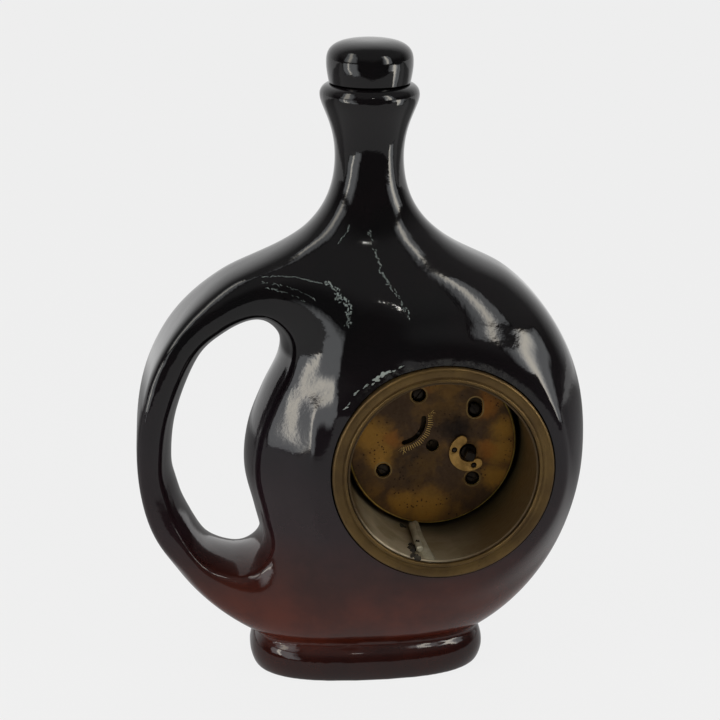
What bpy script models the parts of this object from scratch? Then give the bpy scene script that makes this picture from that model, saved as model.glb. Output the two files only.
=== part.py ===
"""A flask-shaped glazed pottery jug that carries a clock in its body.

Units are metres and +Z is up. +X is the handle side, +Y the rear, where the clock is wound,
and -Y the dial side. The origin is on the floor under the middle of the object.
"""
import math

import bmesh
import bpy
import mathutils
import numpy as np

# Foot: a stadium-like oval that bulges between its base and its top edge.
foot_half_length = 0.0486
foot_half_depth = 0.0280
foot_x = -0.0027
foot_height = 0.0142
foot_bulge = 0.0020
foot_power = 2.62
foot_rim = 0.0065
foot_recess = 0.0020
foot_crease = 0.0013
foot_sink = 0.0102
base_thickness = 0.0055

# Body: its outline is a power curve in each direction, and its lower end sinks into the foot.
body_half_width = 0.0939
body_rise = 0.0908
body_drop = 0.0955
body_half_depth = 0.040
body_thick_x = -0.0230
lower_body_x = -0.0060
outline_power = 2.15
outline_drop_power = 2.05
depth_rise_power = 2.3
depth_drop_power = 2.6
pottery_wall = 0.0055
slip_gap = 0.0003

# Shoulder and neck: a curve that runs out of the body, up into the neck and out to the lip.
shoulder_share = 0.8062
shoulder_lower_reach = 0.0154
shoulder_upper_reach = 0.0345
shoulder_length = 0.0484
neck_x = -0.00295
neck_radius = 0.01405
neck_length = 0.0255
neck_upper_reach = 0.014
lip_radius = 0.0203
lip_lower_reach = 0.005
lip_thickness = 0.0042
bore_radius = 0.0098
bore_depth = 0.044

# Stopper: a dome on the lip, with a shank in the neck's bore.
dome_inset = 0.00285
dome_side_height = 0.0072
dome_cap_height = 0.0097
dome_power = 3.0
dome_base_drop = 0.00105
shank_length = 0.020
shank_chamfer = 0.0008

# Clock opening through the body, with a flat land round it front and rear.
ring_outer_radius = 0.0456
ring_clearance = 0.0006
clock_side_margin = 0.0180
clock_drop = 0.0027
land_width = 0.0046
land_inset = 0.0037
land_blend = 0.013

# Handle hole: a kidney-shaped outline, as shares of its width from its inner side and of its height.
handle_strap = 0.0104
hole_clock_gap = 0.0122
hole_base_margin = 0.0435
hole_top_margin = 0.0273
hole_edge_share = 0.49
hole_blend = 0.045
hole_wall_crown = 0.0036
hole_fillet = 0.0025
hole_outline_shares = (
    (0.995, 0.411), (0.945, 0.602), (0.762, 0.820), (0.540, 0.932), (0.322, 0.990), (0.165, 0.960),
    (0.050, 0.879), (0.070, 0.771), (0.192, 0.646), (0.296, 0.511), (0.325, 0.368), (0.257, 0.221),
    (0.213, 0.108), (0.304, 0.026), (0.468, 0.000), (0.705, 0.052), (0.880, 0.195), (0.955, 0.300),
)

# Inner hollow: its limit on the handle side, as shares of the total height and of the half width.
hollow_side_shares = (
    (0.03, 0.38), (0.12, 0.44), (0.20, 0.40), (0.28, 0.37), (0.36, 0.39), (0.45, 0.32),
    (0.53, 0.20), (0.60, 0.17), (0.66, 0.17), (0.72, 0.13),
)
hollow_power = 2.6

# Rear ring, sleeve and the post soldered in it.
seat_gap = 0.0003
ring_stand = 0.0017
ring_band = 0.0062
ring_depth = 0.0046
ring_round = 0.0012
ring_bead_width = 0.0014
ring_groove = 0.0005
sleeve_wall = 0.0008
sleeve_rear_inset = 0.0014
post_radius = 0.0015
post_angle_deg = -76.5
post_end_inset = 0.0065
post_solder_length = 0.0070

# Dial side, which the movement hangs from.
glass_thickness = 0.0014
glass_dome_rise = 0.0017
glass_stand = 0.0065
sight_ring_width = 0.0018
dial_thickness = 0.0008
dial_slack = 0.0004
dial_hole_radius = 0.0036
hand_thickness = 0.0004
hour_hand_stand = 0.0019
hand_spacing = 0.0014
hour_hand_length = 0.0180
minute_hand_length = 0.0270
hand_hub_margin = 0.0012
hand_stem_width = 0.0011
spade_half_width = 0.0016
bezel_overlap = 0.0038
bezel_inner_radius = 0.0370
bezel_round = 0.0006
bezel_skirt_depth = 0.0050
bezel_skirt_wall = 0.0010

# Movement cup.
cup_flange_width = 0.0018
cup_wall = 0.0008
cup_shoulder = 0.0020
cup_head_room = 0.0034
centre_hole_radius = 0.0028
screw_hole_radius = 0.0031
screw_hole_stretch = 0.0013
arbor_hole_radius = 0.0036

# Movement plates, their pillars and the screws seen through the cup.
motion_space = 0.0072
plate_gap = 0.0172
back_plate_thickness = 0.0013
back_plate_inset = 0.0032
front_plate_thickness = 0.0015
plate_screw_margin = 0.0096
pillar_angles_deg = (74.7, 139.9, 221.9, 333.1)
pillar_radius = 0.0022
screw_head_radius = 0.0026
screw_head_height = 0.0017
screw_shank_radius = 0.0012
screw_shank_length = 0.0060
screw_slot_width = 0.0008
screw_slot_depth = 0.0007

# Winding side: arbor, keeper and its rivets.
barrel_offset = (-0.0154, -0.0034)
arbor_boss_radius = 0.0030
arbor_boss_height = 0.0046
arbor_square = 0.0040
arbor_square_length = 0.0052
arbor_corner_share = 0.75
arbor_turn_deg = 20.0
arbor_shaft_radius = 0.0020
keeper_inner_radius = 0.0041
keeper_outer_radius = 0.0084
keeper_start_deg = -128.0
keeper_end_deg = 62.0
keeper_thickness = 0.0010
rivet_radius = 0.0009
rivet_head_rise = 0.0002
rivet_angles_deg = (13.0, -112.0)

# Balance and regulator; a drop is a distance below the back plate's rear face.
balance_offset = (0.0138, 0.0114)
slot_radius = 0.0100
slot_width = 0.0022
slot_start_deg = 175.0
slot_end_deg = 260.0
lever_thickness = 0.0008
lever_width = 0.0016
lever_eye_radius = 0.0028
lever_boss_radius = 0.0012
lever_pin_radius = 0.0006
balance_radius = 0.0080
balance_rim = 0.0012
balance_arm_width = 0.0014
balance_drop = 0.0090
balance_thickness = 0.0012
staff_radius = 0.0007
roller_radius = 0.0016
hairspring_outer_radius = 0.0052
hairspring_inner_radius = 0.0014
hairspring_turns = 3.5
hairspring_ribbon = 0.0003
hairspring_height = 0.0008
hairspring_drop = 0.0062

# Train wheels between the plates.
pivot_radius = 0.0008
pivot_shoulder = 0.0003
centre_wheel_radius = 0.0090
centre_wheel_drop = 0.0030
centre_pinion_drop = 0.0128
centre_pinion_length = 0.0022
wheel_thickness = 0.0012
pinion_length = 0.0028
third_pinion_radius = 0.0020
third_angle_deg = -75.0
third_wheel_radius = 0.0080
third_wheel_drop = 0.0090
escape_pinion_radius = 0.0018
escape_angle_deg = 18.0
escape_wheel_radius = 0.0054
escape_wheel_drop = 0.0145
escape_thickness = 0.0008
barrel_wheel_radius = 0.0101
barrel_wheel_drop = 0.0132
barrel_radius = 0.0093
barrel_rear_drop = 0.0052
barrel_wall = 0.0006
mainspring_turns = 3.5
mainspring_ribbon = 0.0005
pallet_pivot_drop = 0.0110
pallet_hub_radius = 0.0014
pallet_arm_width = 0.0010
pallet_reach = 0.0038
pallet_spread_deg = 50.0

# Teeth of each wheel and leaves of each pinion; depths are shares of the circular pitch.
centre_wheel_teeth = 36
third_pinion_leaves = 8
third_wheel_teeth = 40
escape_pinion_leaves = 9
escape_wheel_teeth = 15
barrel_teeth = 33
centre_pinion_leaves = 18
minute_wheel_teeth = 24
cannon_leaves = 8
minute_pinion_leaves = 7
hour_wheel_teeth = 28
tooth_depth_share = 0.5
leaf_depth_share = 0.25
escape_lean_share = 0.15

# Motion work in front of the front plate.
centre_arbor_radius = 0.0009
cannon_bore_gap = 0.0003
cannon_radius = 0.0018
cannon_pitch_radius = 0.0020
minute_wheel_radius = 0.0060
minute_pinion_radius = 0.0016
minute_wheel_stand = 0.0014
motion_wheel_thickness = 0.0010
motion_wheel_spacing = 0.0026
hour_pipe_wall = 0.0007
minute_post_radius = 0.0006

# Facet counts.
ring_points = 96
body_rows = 26
neck_rows = 12
body_keep_share = 0.12
turned_steps = 28
rim_steps = 40
dome_steps = 26
wheel_steps = 16
small_steps = 12
medium_steps = 16
boss_steps = 20
barrel_steps = 24
neck_curve_steps = 24
spring_points_per_turn = 12
cut_overrun = 0.002

# Places that follow from the sizes: heights, then radii, then places along Y from the dial side back.
body_centre_height = foot_height + body_drop - foot_sink
shoulder_height = body_centre_height + shoulder_share * body_rise
neck_height = shoulder_height + shoulder_length
lip_height = neck_height + neck_length
lip_top = lip_height + lip_thickness
dome_radius = lip_radius - dome_inset
dome_waist_height = lip_top + slip_gap + dome_side_height
total_height = dome_waist_height + dome_cap_height

clock_x = clock_side_margin + ring_outer_radius - body_half_width
clock_z = body_centre_height - clock_drop
clock_radius = ring_outer_radius + ring_clearance
hole_inner_x = clock_x + ring_outer_radius + hole_clock_gap
hole_width = body_half_width - handle_strap - hole_inner_x
hole_bottom = body_centre_height - body_drop + hole_base_margin
hole_height = body_centre_height + body_rise - hole_top_margin - hole_bottom

ring_inner_radius = ring_outer_radius - ring_band
sleeve_outer_radius = ring_inner_radius - seat_gap
sleeve_inner_radius = sleeve_outer_radius - sleeve_wall
stack_radius = sleeve_inner_radius - seat_gap
dial_radius = stack_radius - dial_slack
cup_radius = stack_radius - cup_flange_width
back_plate_radius = cup_radius - back_plate_inset
plate_circle_radius = back_plate_radius - plate_screw_margin
bezel_outer_radius = ring_outer_radius + bezel_overlap

land_y = body_half_depth - land_inset
rear_face_y = land_y + ring_stand
sleeve_front_y = -land_y
glass_edge_y = glass_thickness + seat_gap / 3 - land_y
dial_front_y = glass_edge_y + glass_stand
cup_flange_y = dial_front_y + dial_thickness + seat_gap
hour_hand_y = dial_front_y - hour_hand_stand
minute_hand_y = hour_hand_y - hand_spacing
plate_face_y = cup_flange_y + motion_space
front_plate_y = plate_face_y + front_plate_thickness
inner_back_y = front_plate_y + plate_gap
back_plate_y = inner_back_y + back_plate_thickness
cup_back_y = back_plate_y + cup_head_room
arbor_boss_end_y = back_plate_y + arbor_boss_height
arbor_end_y = arbor_boss_end_y + arbor_square_length
balance_y = back_plate_y - balance_drop
hairspring_y = back_plate_y - hairspring_drop
centre_wheel_y = back_plate_y - centre_wheel_drop
centre_pinion_y = back_plate_y - centre_pinion_drop
third_wheel_y = back_plate_y - third_wheel_drop
escape_wheel_y = back_plate_y - escape_wheel_drop
barrel_wheel_y = back_plate_y - barrel_wheel_drop
barrel_rear_y = back_plate_y - barrel_rear_drop
minute_wheel_y = plate_face_y - minute_wheel_stand
hour_wheel_y = minute_wheel_y - motion_wheel_spacing


def clear_scene():
    for item in list(bpy.data.objects):
        bpy.data.objects.remove(item, do_unlink=True)


def make_material(name, colour, roughness, metallic=0.0):
    material = bpy.data.materials.new(name)
    material.use_nodes = True
    shader = material.node_tree.nodes["Principled BSDF"]
    shader.inputs["Base Color"].default_value = (*colour, 1.0)
    shader.inputs["Roughness"].default_value = roughness
    shader.inputs["Metallic"].default_value = metallic
    material.diffuse_color = (*colour, 1.0)
    return material


def add_object(name, bm, material, location=(0.0, 0.0, 0.0), sharp_deg=35.0):
    bmesh.ops.recalc_face_normals(bm, faces=bm.faces)
    mesh = bpy.data.meshes.new(name)
    bm.to_mesh(mesh)
    bm.free()
    mesh.shade_smooth()
    mesh.set_sharp_from_angle(angle=math.radians(sharp_deg))
    item = bpy.data.objects.new(name, mesh)
    item.location = location
    bpy.context.scene.collection.objects.link(item)
    if material:
        mesh.materials.append(material)
    return item


def boolean(item, cutter, operation="DIFFERENCE"):
    cutter.hide_render = True
    cutter.display_type = "WIRE"
    modifier = item.modifiers.new(operation.lower(), "BOOLEAN")
    modifier.operation = operation
    modifier.solver = "EXACT"
    modifier.object = cutter


def bridge_rings(bm, rings, close_ends=True):
    rows = [[bm.verts.new(point) for point in ring] for ring in rings]
    count = len(rows[0])
    for lower, upper in zip(rows, rows[1:]):
        for i in range(count):
            j = (i + 1) % count
            bm.faces.new((lower[i], lower[j], upper[j], upper[i]))
    if close_ends:
        bm.faces.new(list(reversed(rows[0])))
        bm.faces.new(rows[-1])


def turned(name, profile, material, centre=(clock_x, clock_z), steps=turned_steps):
    """Turn a closed profile of (radius, y) about an axis along Y through the centre."""
    bm = bmesh.new()
    verts = [bm.verts.new((radius, y, 0.0)) for radius, y in profile]
    edges = [bm.edges.new((verts[i - 1], verts[i])) for i in range(len(verts))]
    edges = [edge for edge in edges if max(vert.co.x for vert in edge.verts) > 0.0]
    bmesh.ops.spin(bm, geom=verts + edges, cent=(0.0, 0.0, 0.0), axis=(0.0, 1.0, 0.0),
                   angle=math.tau, steps=steps, use_merge=True)
    bmesh.ops.remove_doubles(bm, verts=bm.verts, dist=1e-6)
    loose = [edge for edge in bm.edges if not edge.link_faces]
    bmesh.ops.delete(bm, geom=loose, context="EDGES")
    return add_object(name, bm, material, (centre[0], 0.0, centre[1]))


def slab(name, outline, y_low, y_high, material, centre=(clock_x, clock_z)):
    """A flat plate: an outline of (x, z) round the centre, extruded along Y."""
    bm = bmesh.new()
    bridge_rings(bm, [[(x, y, z) for x, z in outline] for y in (y_low, y_high)])
    return add_object(name, bm, material, (centre[0], 0.0, centre[1]))


def disc_outline(radius, steps=small_steps, centre=(0.0, 0.0), stretch=0.0):
    points = []
    for i in range(steps):
        angle = math.tau * i / steps
        lift = math.copysign(stretch, math.sin(angle)) if stretch else 0.0
        points.append((centre[0] + radius * math.cos(angle), centre[1] + radius * math.sin(angle) + lift))
    return points


def sector_outline(inner, outer, start_deg, end_deg, steps, centre=(0.0, 0.0)):
    """An arc-shaped band with round ends."""
    middle = (inner + outer) / 2
    end_radius = (outer - inner) / 2
    start, end = math.radians(start_deg), math.radians(end_deg)
    points = []
    for i in range(steps + 1):
        angle = start + (end - start) * i / steps
        points.append((outer * math.cos(angle), outer * math.sin(angle)))
    for i in range(1, 5):
        angle = end + math.pi * i / 5
        points.append((middle * math.cos(end) + end_radius * math.cos(angle),
                       middle * math.sin(end) + end_radius * math.sin(angle)))
    for i in range(steps + 1):
        angle = end + (start - end) * i / steps
        points.append((inner * math.cos(angle), inner * math.sin(angle)))
    for i in range(1, 5):
        angle = start + math.pi + math.pi * i / 5
        points.append((middle * math.cos(start) + end_radius * math.cos(angle),
                       middle * math.sin(start) + end_radius * math.sin(angle)))
    return [(centre[0] + x, centre[1] + z) for x, z in points]


def hole_cut(item, radius, y_low, y_high, offset=(0.0, 0.0), steps=small_steps, stretch=0.0):
    outline = disc_outline(radius, steps, offset, stretch)
    cutter = slab(item.name + "_hole", outline, y_low - cut_overrun, y_high + cut_overrun, None)
    boolean(item, cutter)


def world_centre(offset):
    return (clock_x + offset[0], clock_z + offset[1])


def polar(radius, angle_deg, centre=(0.0, 0.0)):
    angle = math.radians(angle_deg)
    return (centre[0] + radius * math.cos(angle), centre[1] + radius * math.sin(angle))


def rotate_outline(outline, turn_deg):
    c, s = math.cos(math.radians(turn_deg)), math.sin(math.radians(turn_deg))
    return [(x * c - z * s, x * s + z * c) for x, z in outline]


def add_teeth(item, teeth, tip, depth_share, y_low, y_high, centre=(clock_x, clock_z), lean_share=0.5):
    """Join a toothed plate to an arbor: one tip and one gullet for each tooth."""
    depth = depth_share * math.tau * tip / teeth
    pitch_deg = 360.0 / teeth
    outline = []
    for i in range(teeth):
        outline.append(polar(tip, i * pitch_deg))
        outline.append(polar(tip - depth, (i + lean_share) * pitch_deg))
    boolean(item, slab(f"{item.name}_teeth_{teeth}", outline, y_low, y_high, None, centre), "UNION")


def power_curve(share, power):
    return max(0.0, 1.0 - abs(share) ** power) ** (1.0 / power)


def body_share(z):
    reach = body_rise if z > body_centre_height else body_drop
    return (z - body_centre_height) / reach


def oval_at(z, half, rise_power, drop_power):
    power = rise_power if z > body_centre_height else drop_power
    return half * power_curve(body_share(z), power)


def bezier(p0, p1, p2, p3, steps):
    points = []
    for i in range(steps + 1):
        t = i / steps
        s = 1.0 - t
        points.append(tuple(s ** 3 * a + 3 * s * s * t * b + 3 * s * t * t * c + t ** 3 * d
                            for a, b, c, d in zip(p0, p1, p2, p3)))
    return points


def shoulder_curve(half, rise_power, steps=40):
    """The curve from the body's outline at the shoulder up to the neck's waist, as (half size, z)."""
    start = oval_at(shoulder_height, half, rise_power, rise_power)
    step = (neck_height - shoulder_height) / 1000
    slope = (oval_at(shoulder_height + step, half, rise_power, rise_power) - start) / step
    length = math.hypot(slope, 1.0)
    lower = (start + slope / length * shoulder_lower_reach, shoulder_height + shoulder_lower_reach / length)
    upper = (neck_radius, neck_height - shoulder_upper_reach)
    return bezier((start, shoulder_height), lower, upper, (neck_radius, neck_height), steps)


width_shoulder = shoulder_curve(body_half_width, outline_power)
depth_shoulder = shoulder_curve(body_half_depth, depth_rise_power)
neck_curve = bezier((neck_radius, neck_height), (neck_radius, neck_height + neck_upper_reach),
                    (lip_radius, lip_height - lip_lower_reach), (lip_radius, lip_height), neck_curve_steps)


def read_curve(curve, z):
    return float(np.interp(z, [point[1] for point in curve], [point[0] for point in curve]))


def half_sizes(z):
    """Half width and half depth of the body and neck at a height, before the local forms."""
    if z >= neck_height:
        radius = read_curve(neck_curve, z)
        return radius, radius
    if z >= shoulder_height:
        return read_curve(width_shoulder, z), read_curve(depth_shoulder, z)
    return (oval_at(z, body_half_width, outline_power, outline_drop_power),
            oval_at(z, body_half_depth, depth_rise_power, depth_drop_power))


def section(z):
    """Left and right limits, the thickest x, the half depth and the two powers at a height."""
    half_width, half_depth = half_sizes(z)
    share = min(1.0, abs(body_share(z)))
    middle = (neck_x if z > body_centre_height else lower_body_x) * share ** 3
    weight = 1.0 - share * share
    thick = neck_x + (body_thick_x - neck_x) * weight
    spread = math.sqrt(weight)
    return middle - half_width, middle + half_width, thick, half_depth, 2.0 + 0.8 * spread, 2.0 + 0.4 * spread


def closed_spline(points, steps):
    """A closed Catmull-Rom spline through the points."""
    count = len(points)
    result = []
    for i in range(count):
        p0, p1, p2, p3 = (np.array(points[(i + k) % count]) for k in (-1, 0, 1, 2))
        for j in range(steps):
            t = j / steps
            result.append(0.5 * (2 * p1 + (p2 - p0) * t + (2 * p0 - 5 * p1 + 4 * p2 - p3) * t * t
                                 + (3 * p1 - p0 - 3 * p2 + p3) * t ** 3))
    return np.array(result)


hole_outline = closed_spline([(hole_inner_x + hole_width * u, hole_bottom + hole_height * v)
                              for u, v in hole_outline_shares], 4)


def hole_distance(x, z):
    """Distance outside the handle hole's outline, or 0 inside it."""
    point = np.array((x, z))
    start = hole_outline
    run = np.roll(hole_outline, -1, axis=0) - start
    along = np.clip(((point - start) * run).sum(axis=1) / (run ** 2).sum(axis=1), 0.0, 1.0)
    nearest = np.linalg.norm(point - start - run * along[:, None], axis=1).min()
    ends = start + run
    crosses = (start[:, 1] > z) != (ends[:, 1] > z)
    at = start[:, 0] + (z - start[:, 1]) / np.where(crosses, run[:, 1], 1.0) * run[:, 0]
    inside = int(np.count_nonzero(crosses & (x < at))) % 2 == 1
    return 0.0 if inside else float(nearest)


def smooth_step(share):
    share = min(1.0, max(0.0, share))
    return share * share * (3.0 - 2.0 * share)


def local_depth(x, z, depth):
    """The half depth after the body thins towards the handle hole and flattens round the clock."""
    edge_depth = hole_edge_share * half_sizes(z)[1]
    if depth > edge_depth:
        share = min(1.0, hole_distance(x, z) / hole_blend)
        depth = edge_depth + (depth - edge_depth) * (1.0 - (1.0 - share) ** 2)
    reach = math.hypot(x - clock_x, z - clock_z) - clock_radius - land_width
    weight = (1.0 - min(1.0, max(0.0, reach / land_blend))) ** 2
    return depth + (land_y - depth) * weight


def surface_depth(x, z):
    """Half depth of the finished surface at a place in the body's outline."""
    left, right, thick, half_depth, left_power, right_power = section(z)
    share, power = ((x - thick) / (right - thick), right_power)
    if x < thick:
        share, power = ((thick - x) / (thick - left), left_power)
    return local_depth(x, z, half_depth * power_curve(share, power))


def section_ring(z):
    left, right, thick, half_depth, left_power, right_power = section(z)
    ring = []
    for i in range(ring_points):
        angle = math.tau * i / ring_points
        c, s = math.cos(angle), math.sin(angle)
        power, reach = (right_power, right - thick) if c >= 0.0 else (left_power, thick - left)
        x = thick + math.copysign(reach * abs(c) ** (2.0 / power), c)
        depth = half_depth * abs(s) ** (2.0 / power)
        if z < neck_height:
            edge = smooth_step(depth / (0.3 * half_depth))
            depth += (local_depth(x, z, depth) - depth) * edge
        ring.append((x, math.copysign(depth, s), z))
    return ring


def oval_ring(z, half_length, half_depth, centre_x, power):
    ring = []
    for i in range(ring_points):
        angle = math.tau * i / ring_points
        c, s = math.cos(angle), math.sin(angle)
        ring.append((centre_x + math.copysign(half_length * abs(c) ** (2.0 / power), c),
                     math.copysign(half_depth * abs(s) ** (2.0 / power), s), z))
    return ring


def foot_ring(z, inset=0.0):
    bulge = foot_bulge * math.sin(math.pi * z / foot_height) - inset
    return oval_ring(z, foot_half_length + bulge, foot_half_depth + bulge, foot_x, foot_power)


def outer_rings():
    rings = [foot_ring(foot_recess, foot_rim + foot_recess), foot_ring(0.0, foot_rim)]
    rings += [foot_ring(foot_height * share) for share in (0.0, 0.06, 0.14, 0.28, 0.45, 0.62, 0.8, 0.92, 1.0)]
    body_start = math.asin((body_centre_height - foot_height - foot_crease) / body_drop)
    for i in range(body_rows + 1):
        angle = body_start * (1.0 - i / body_rows)
        rings.append(section_ring(body_centre_height - body_drop * math.sin(angle)))
    body_end = math.asin((shoulder_height - body_centre_height) / body_rise)
    for i in range(1, body_rows + 1):
        rings.append(section_ring(body_centre_height + body_rise * math.sin(body_end * i / body_rows)))
    for i in range(1, neck_rows + 1):
        rings.append(section_ring(shoulder_height + (neck_height - shoulder_height) * i / neck_rows))
    for i in range(1, neck_rows + 1):
        rings.append(section_ring(neck_height + (lip_height - neck_height) * i / neck_rows))
    lip_seat_radius = dome_radius - 2 * dome_base_drop
    for i in range(1, 6):
        angle = math.pi / 2 * i / 5
        radius = lip_seat_radius + (lip_radius - lip_seat_radius) * math.cos(angle)
        z = lip_height + (lip_top - lip_height) * math.sin(angle)
        rings.append(oval_ring(z, radius, radius, neck_x, 2.0))
    return rings


def hollow_side(z):
    """The hollow's limit on the handle side, at least a wall away from the handle hole."""
    heights = [total_height * share for share, _ in hollow_side_shares]
    side = float(np.interp(z, heights, [body_half_width * share for _, share in hollow_side_shares]))
    while hole_distance(side, z) < pottery_wall:
        side -= pottery_wall / 4
    return side


def hollow_ring(z):
    """A ring of the inner hollow, which keeps the wall and stays clear of the handle hole."""
    foot_limit = foot_x - foot_half_length + pottery_wall
    left, _, _, half_depth, _, _ = section(max(z, foot_height))
    left = left + pottery_wall
    if z < foot_height:
        left = foot_limit
        half_depth = foot_half_depth - foot_bulge
    right = hollow_side(z)
    return oval_ring(z, (right - left) / 2, half_depth - pottery_wall, (left + right) / 2, hollow_power)


def inner_rings():
    bore_end = lip_top - bore_depth
    rings = [oval_ring(z, bore_radius, bore_radius, neck_x, 2.0) for z in (lip_top, bore_end)]
    top = total_height * hollow_side_shares[-1][0]
    floor = foot_recess + base_thickness
    for i in range(8):
        rings.append(hollow_ring(top + (floor - top) * i / 7))
    return rings


def hole_cutter(material):
    """The handle hole: crowned walls between fillets that run out into the two faces."""
    outline = closed_spline([(hole_inner_x + hole_width * u, hole_bottom + hole_height * v)
                             for u, v in hole_outline_shares], 3)
    tangent = np.roll(outline, -1, axis=0) - np.roll(outline, 1, axis=0)
    tangent /= np.linalg.norm(tangent, axis=1)[:, None]
    outward = np.stack((tangent[:, 1], -tangent[:, 0]), axis=1)

    def level(side, share):
        ring = []
        for point, normal in zip(outline, outward):
            inner = surface_depth(*point) - hole_fillet
            place = point - normal * hole_wall_crown * (1.0 - share * share)
            ring.append((place[0], side * share * inner, place[1]))
        return ring

    def fillet(side, angle_deg):
        angle = math.radians(angle_deg)
        ring = []
        for point, normal in zip(outline, outward):
            place = point + normal * hole_fillet * (1.0 - math.cos(angle))
            drop = hole_fillet * (1.0 - math.sin(angle))
            ring.append((place[0], side * (surface_depth(*place) - drop), place[1]))
        return ring

    def outside(side):
        ring = []
        for point, normal in zip(outline, outward):
            place = point + normal * hole_fillet
            ring.append((place[0], side * (body_half_depth + cut_overrun), place[1]))
        return ring

    rings = [outside(-1), fillet(-1, 60), fillet(-1, 30)]
    rings += [level(math.copysign(1, step), abs(step)) for step in (-1.0, -0.5, 0.0, 0.5, 1.0)]
    rings += [fillet(1, 30), fillet(1, 60), outside(1)]
    bm = bmesh.new()
    bridge_rings(bm, [list(reversed(ring)) for ring in rings], close_ends=False)
    bmesh.ops.holes_fill(bm, edges=bm.edges, sides=0)
    bmesh.ops.triangulate(bm, faces=[face for face in bm.faces if len(face.verts) > 4])
    return add_object("handle_hole_cutter", bm, material)


def make_pottery(glaze):
    bm = bmesh.new()
    bridge_rings(bm, outer_rings() + inner_rings())
    body = add_object("jug_body", bm, glaze, sharp_deg=50.0)
    thin_out = body.modifiers.new("thin_out", "DECIMATE")
    thin_out.ratio = body_keep_share
    boolean(body, hole_cutter(None))
    tunnel = disc_outline(clock_radius, rim_steps)
    boolean(body, slab("clock_opening_cutter", tunnel, -body_half_depth - cut_overrun,
                       body_half_depth + cut_overrun, None))

    base = dome_waist_height - dome_side_height
    shank_radius = bore_radius - slip_gap
    profile = [(0.0, total_height)]
    for angle_deg in (14, 28, 42, 56, 70, 82):
        radius = math.sin(math.radians(angle_deg)) ** (2.0 / dome_power)
        z = dome_waist_height + dome_cap_height * power_curve(radius, dome_power)
        profile.append((dome_radius * radius, z))
    for i in range(4):
        share = i / 3
        profile.append((dome_radius - dome_base_drop * share ** 1.5,
                        dome_waist_height + (base - dome_waist_height) * share))
    shank_end = base - shank_length
    profile += [(shank_radius, base), (shank_radius, shank_end + shank_chamfer),
                (shank_radius - shank_chamfer, shank_end), (0.0, shank_end)]
    stopper = turned("stopper", profile, glaze, (0.0, 0.0), dome_steps)
    stopper.data.transform(mathutils.Matrix.Rotation(math.pi / 2, 4, "X"))
    stopper.location = (neck_x, 0.0, 0.0)


def make_case(brass, tin):
    inner, outer, face = ring_inner_radius, ring_outer_radius, rear_face_y
    bead = inner + ring_bead_width
    half = ring_round / 2
    turned("rear_ring", [
        (inner, face - ring_depth), (inner, face - ring_round), (inner + half, face), (bead - half / 2, face),
        (bead, face - ring_groove), (bead + half, face - half / 4), (outer - ring_round, face),
        (outer, face - ring_round), (outer, face - ring_depth),
    ], brass, steps=rim_steps)
    rear = rear_face_y - sleeve_rear_inset
    turned("case_sleeve", [
        (sleeve_inner_radius, sleeve_front_y), (sleeve_inner_radius, rear),
        (sleeve_outer_radius, rear), (sleeve_outer_radius, sleeve_front_y),
    ], tin, steps=rim_steps)


def make_retaining_post(tin):
    """A rod soldered along the sleeve, with its tip behind the edge of the movement cup."""
    radius = post_radius
    reach = sleeve_inner_radius - seat_gap - radius
    offset = polar(reach, post_angle_deg)
    tip = cup_back_y + seat_gap
    end = rear_face_y - post_end_inset
    solder = end - post_solder_length
    turned("retaining_post", [
        (0.0, tip), (radius * 0.7, tip), (radius, tip + radius * 0.4), (radius, solder),
        (radius * 1.05, (solder + end) / 2), (radius, end - radius / 2), (radius * 0.6, end), (0.0, end),
    ], tin, world_centre(offset), small_steps)


def make_cup(brass):
    inner_back = cup_back_y - cup_wall
    inner = cup_radius - cup_wall
    turns = [math.radians(angle_deg) for angle_deg in (0, 45, 90)]
    shoulder = [(cup_radius - cup_shoulder * (1.0 - math.sin(turn)),
                 cup_back_y - cup_shoulder * (1.0 - math.cos(turn))) for turn in turns]
    inner_round = cup_shoulder - cup_wall
    inner_shoulder = [(inner, inner_back - inner_round), (inner - inner_round, inner_back)]
    cup = turned("movement_cup", [(centre_hole_radius, cup_back_y)] + shoulder + [
        (cup_radius, cup_flange_y + cup_wall), (stack_radius, cup_flange_y + cup_wall),
        (stack_radius, cup_flange_y), (inner, cup_flange_y),
    ] + inner_shoulder + [(centre_hole_radius, inner_back)], brass)
    for i, angle in enumerate(pillar_angles_deg):
        stretch = screw_hole_stretch if i == 1 else 0.0
        x, z = polar(plate_circle_radius, angle)
        hole_cut(cup, screw_hole_radius, inner_back, cup_back_y, (x, z + stretch), medium_steps, stretch)
    hole_cut(cup, arbor_hole_radius, inner_back, cup_back_y, barrel_offset, medium_steps)
    slot = sector_outline(slot_radius - slot_width / 2, slot_radius + slot_width / 2,
                          slot_start_deg, slot_end_deg, 8, balance_offset)
    boolean(cup, slab("regulator_slot_cutter", slot, inner_back - cut_overrun, cup_back_y + cut_overrun, None))


def make_keeper(brass, steel):
    base = cup_back_y + seat_gap
    outline = sector_outline(keeper_inner_radius, keeper_outer_radius, keeper_start_deg, keeper_end_deg,
                             12, barrel_offset)
    keeper = slab("key_keeper", outline, base, base + keeper_thickness, brass)
    middle = (keeper_inner_radius + keeper_outer_radius) / 2
    for i, angle in enumerate(rivet_angles_deg, start=1):
        place = polar(middle, angle, barrel_offset)
        hole_cut(keeper, rivet_radius + seat_gap, base, base + keeper_thickness, place)
        slab(f"keeper_rivet_{i}", disc_outline(rivet_radius), base,
             base + keeper_thickness + rivet_head_rise, steel, world_centre(place))


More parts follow.
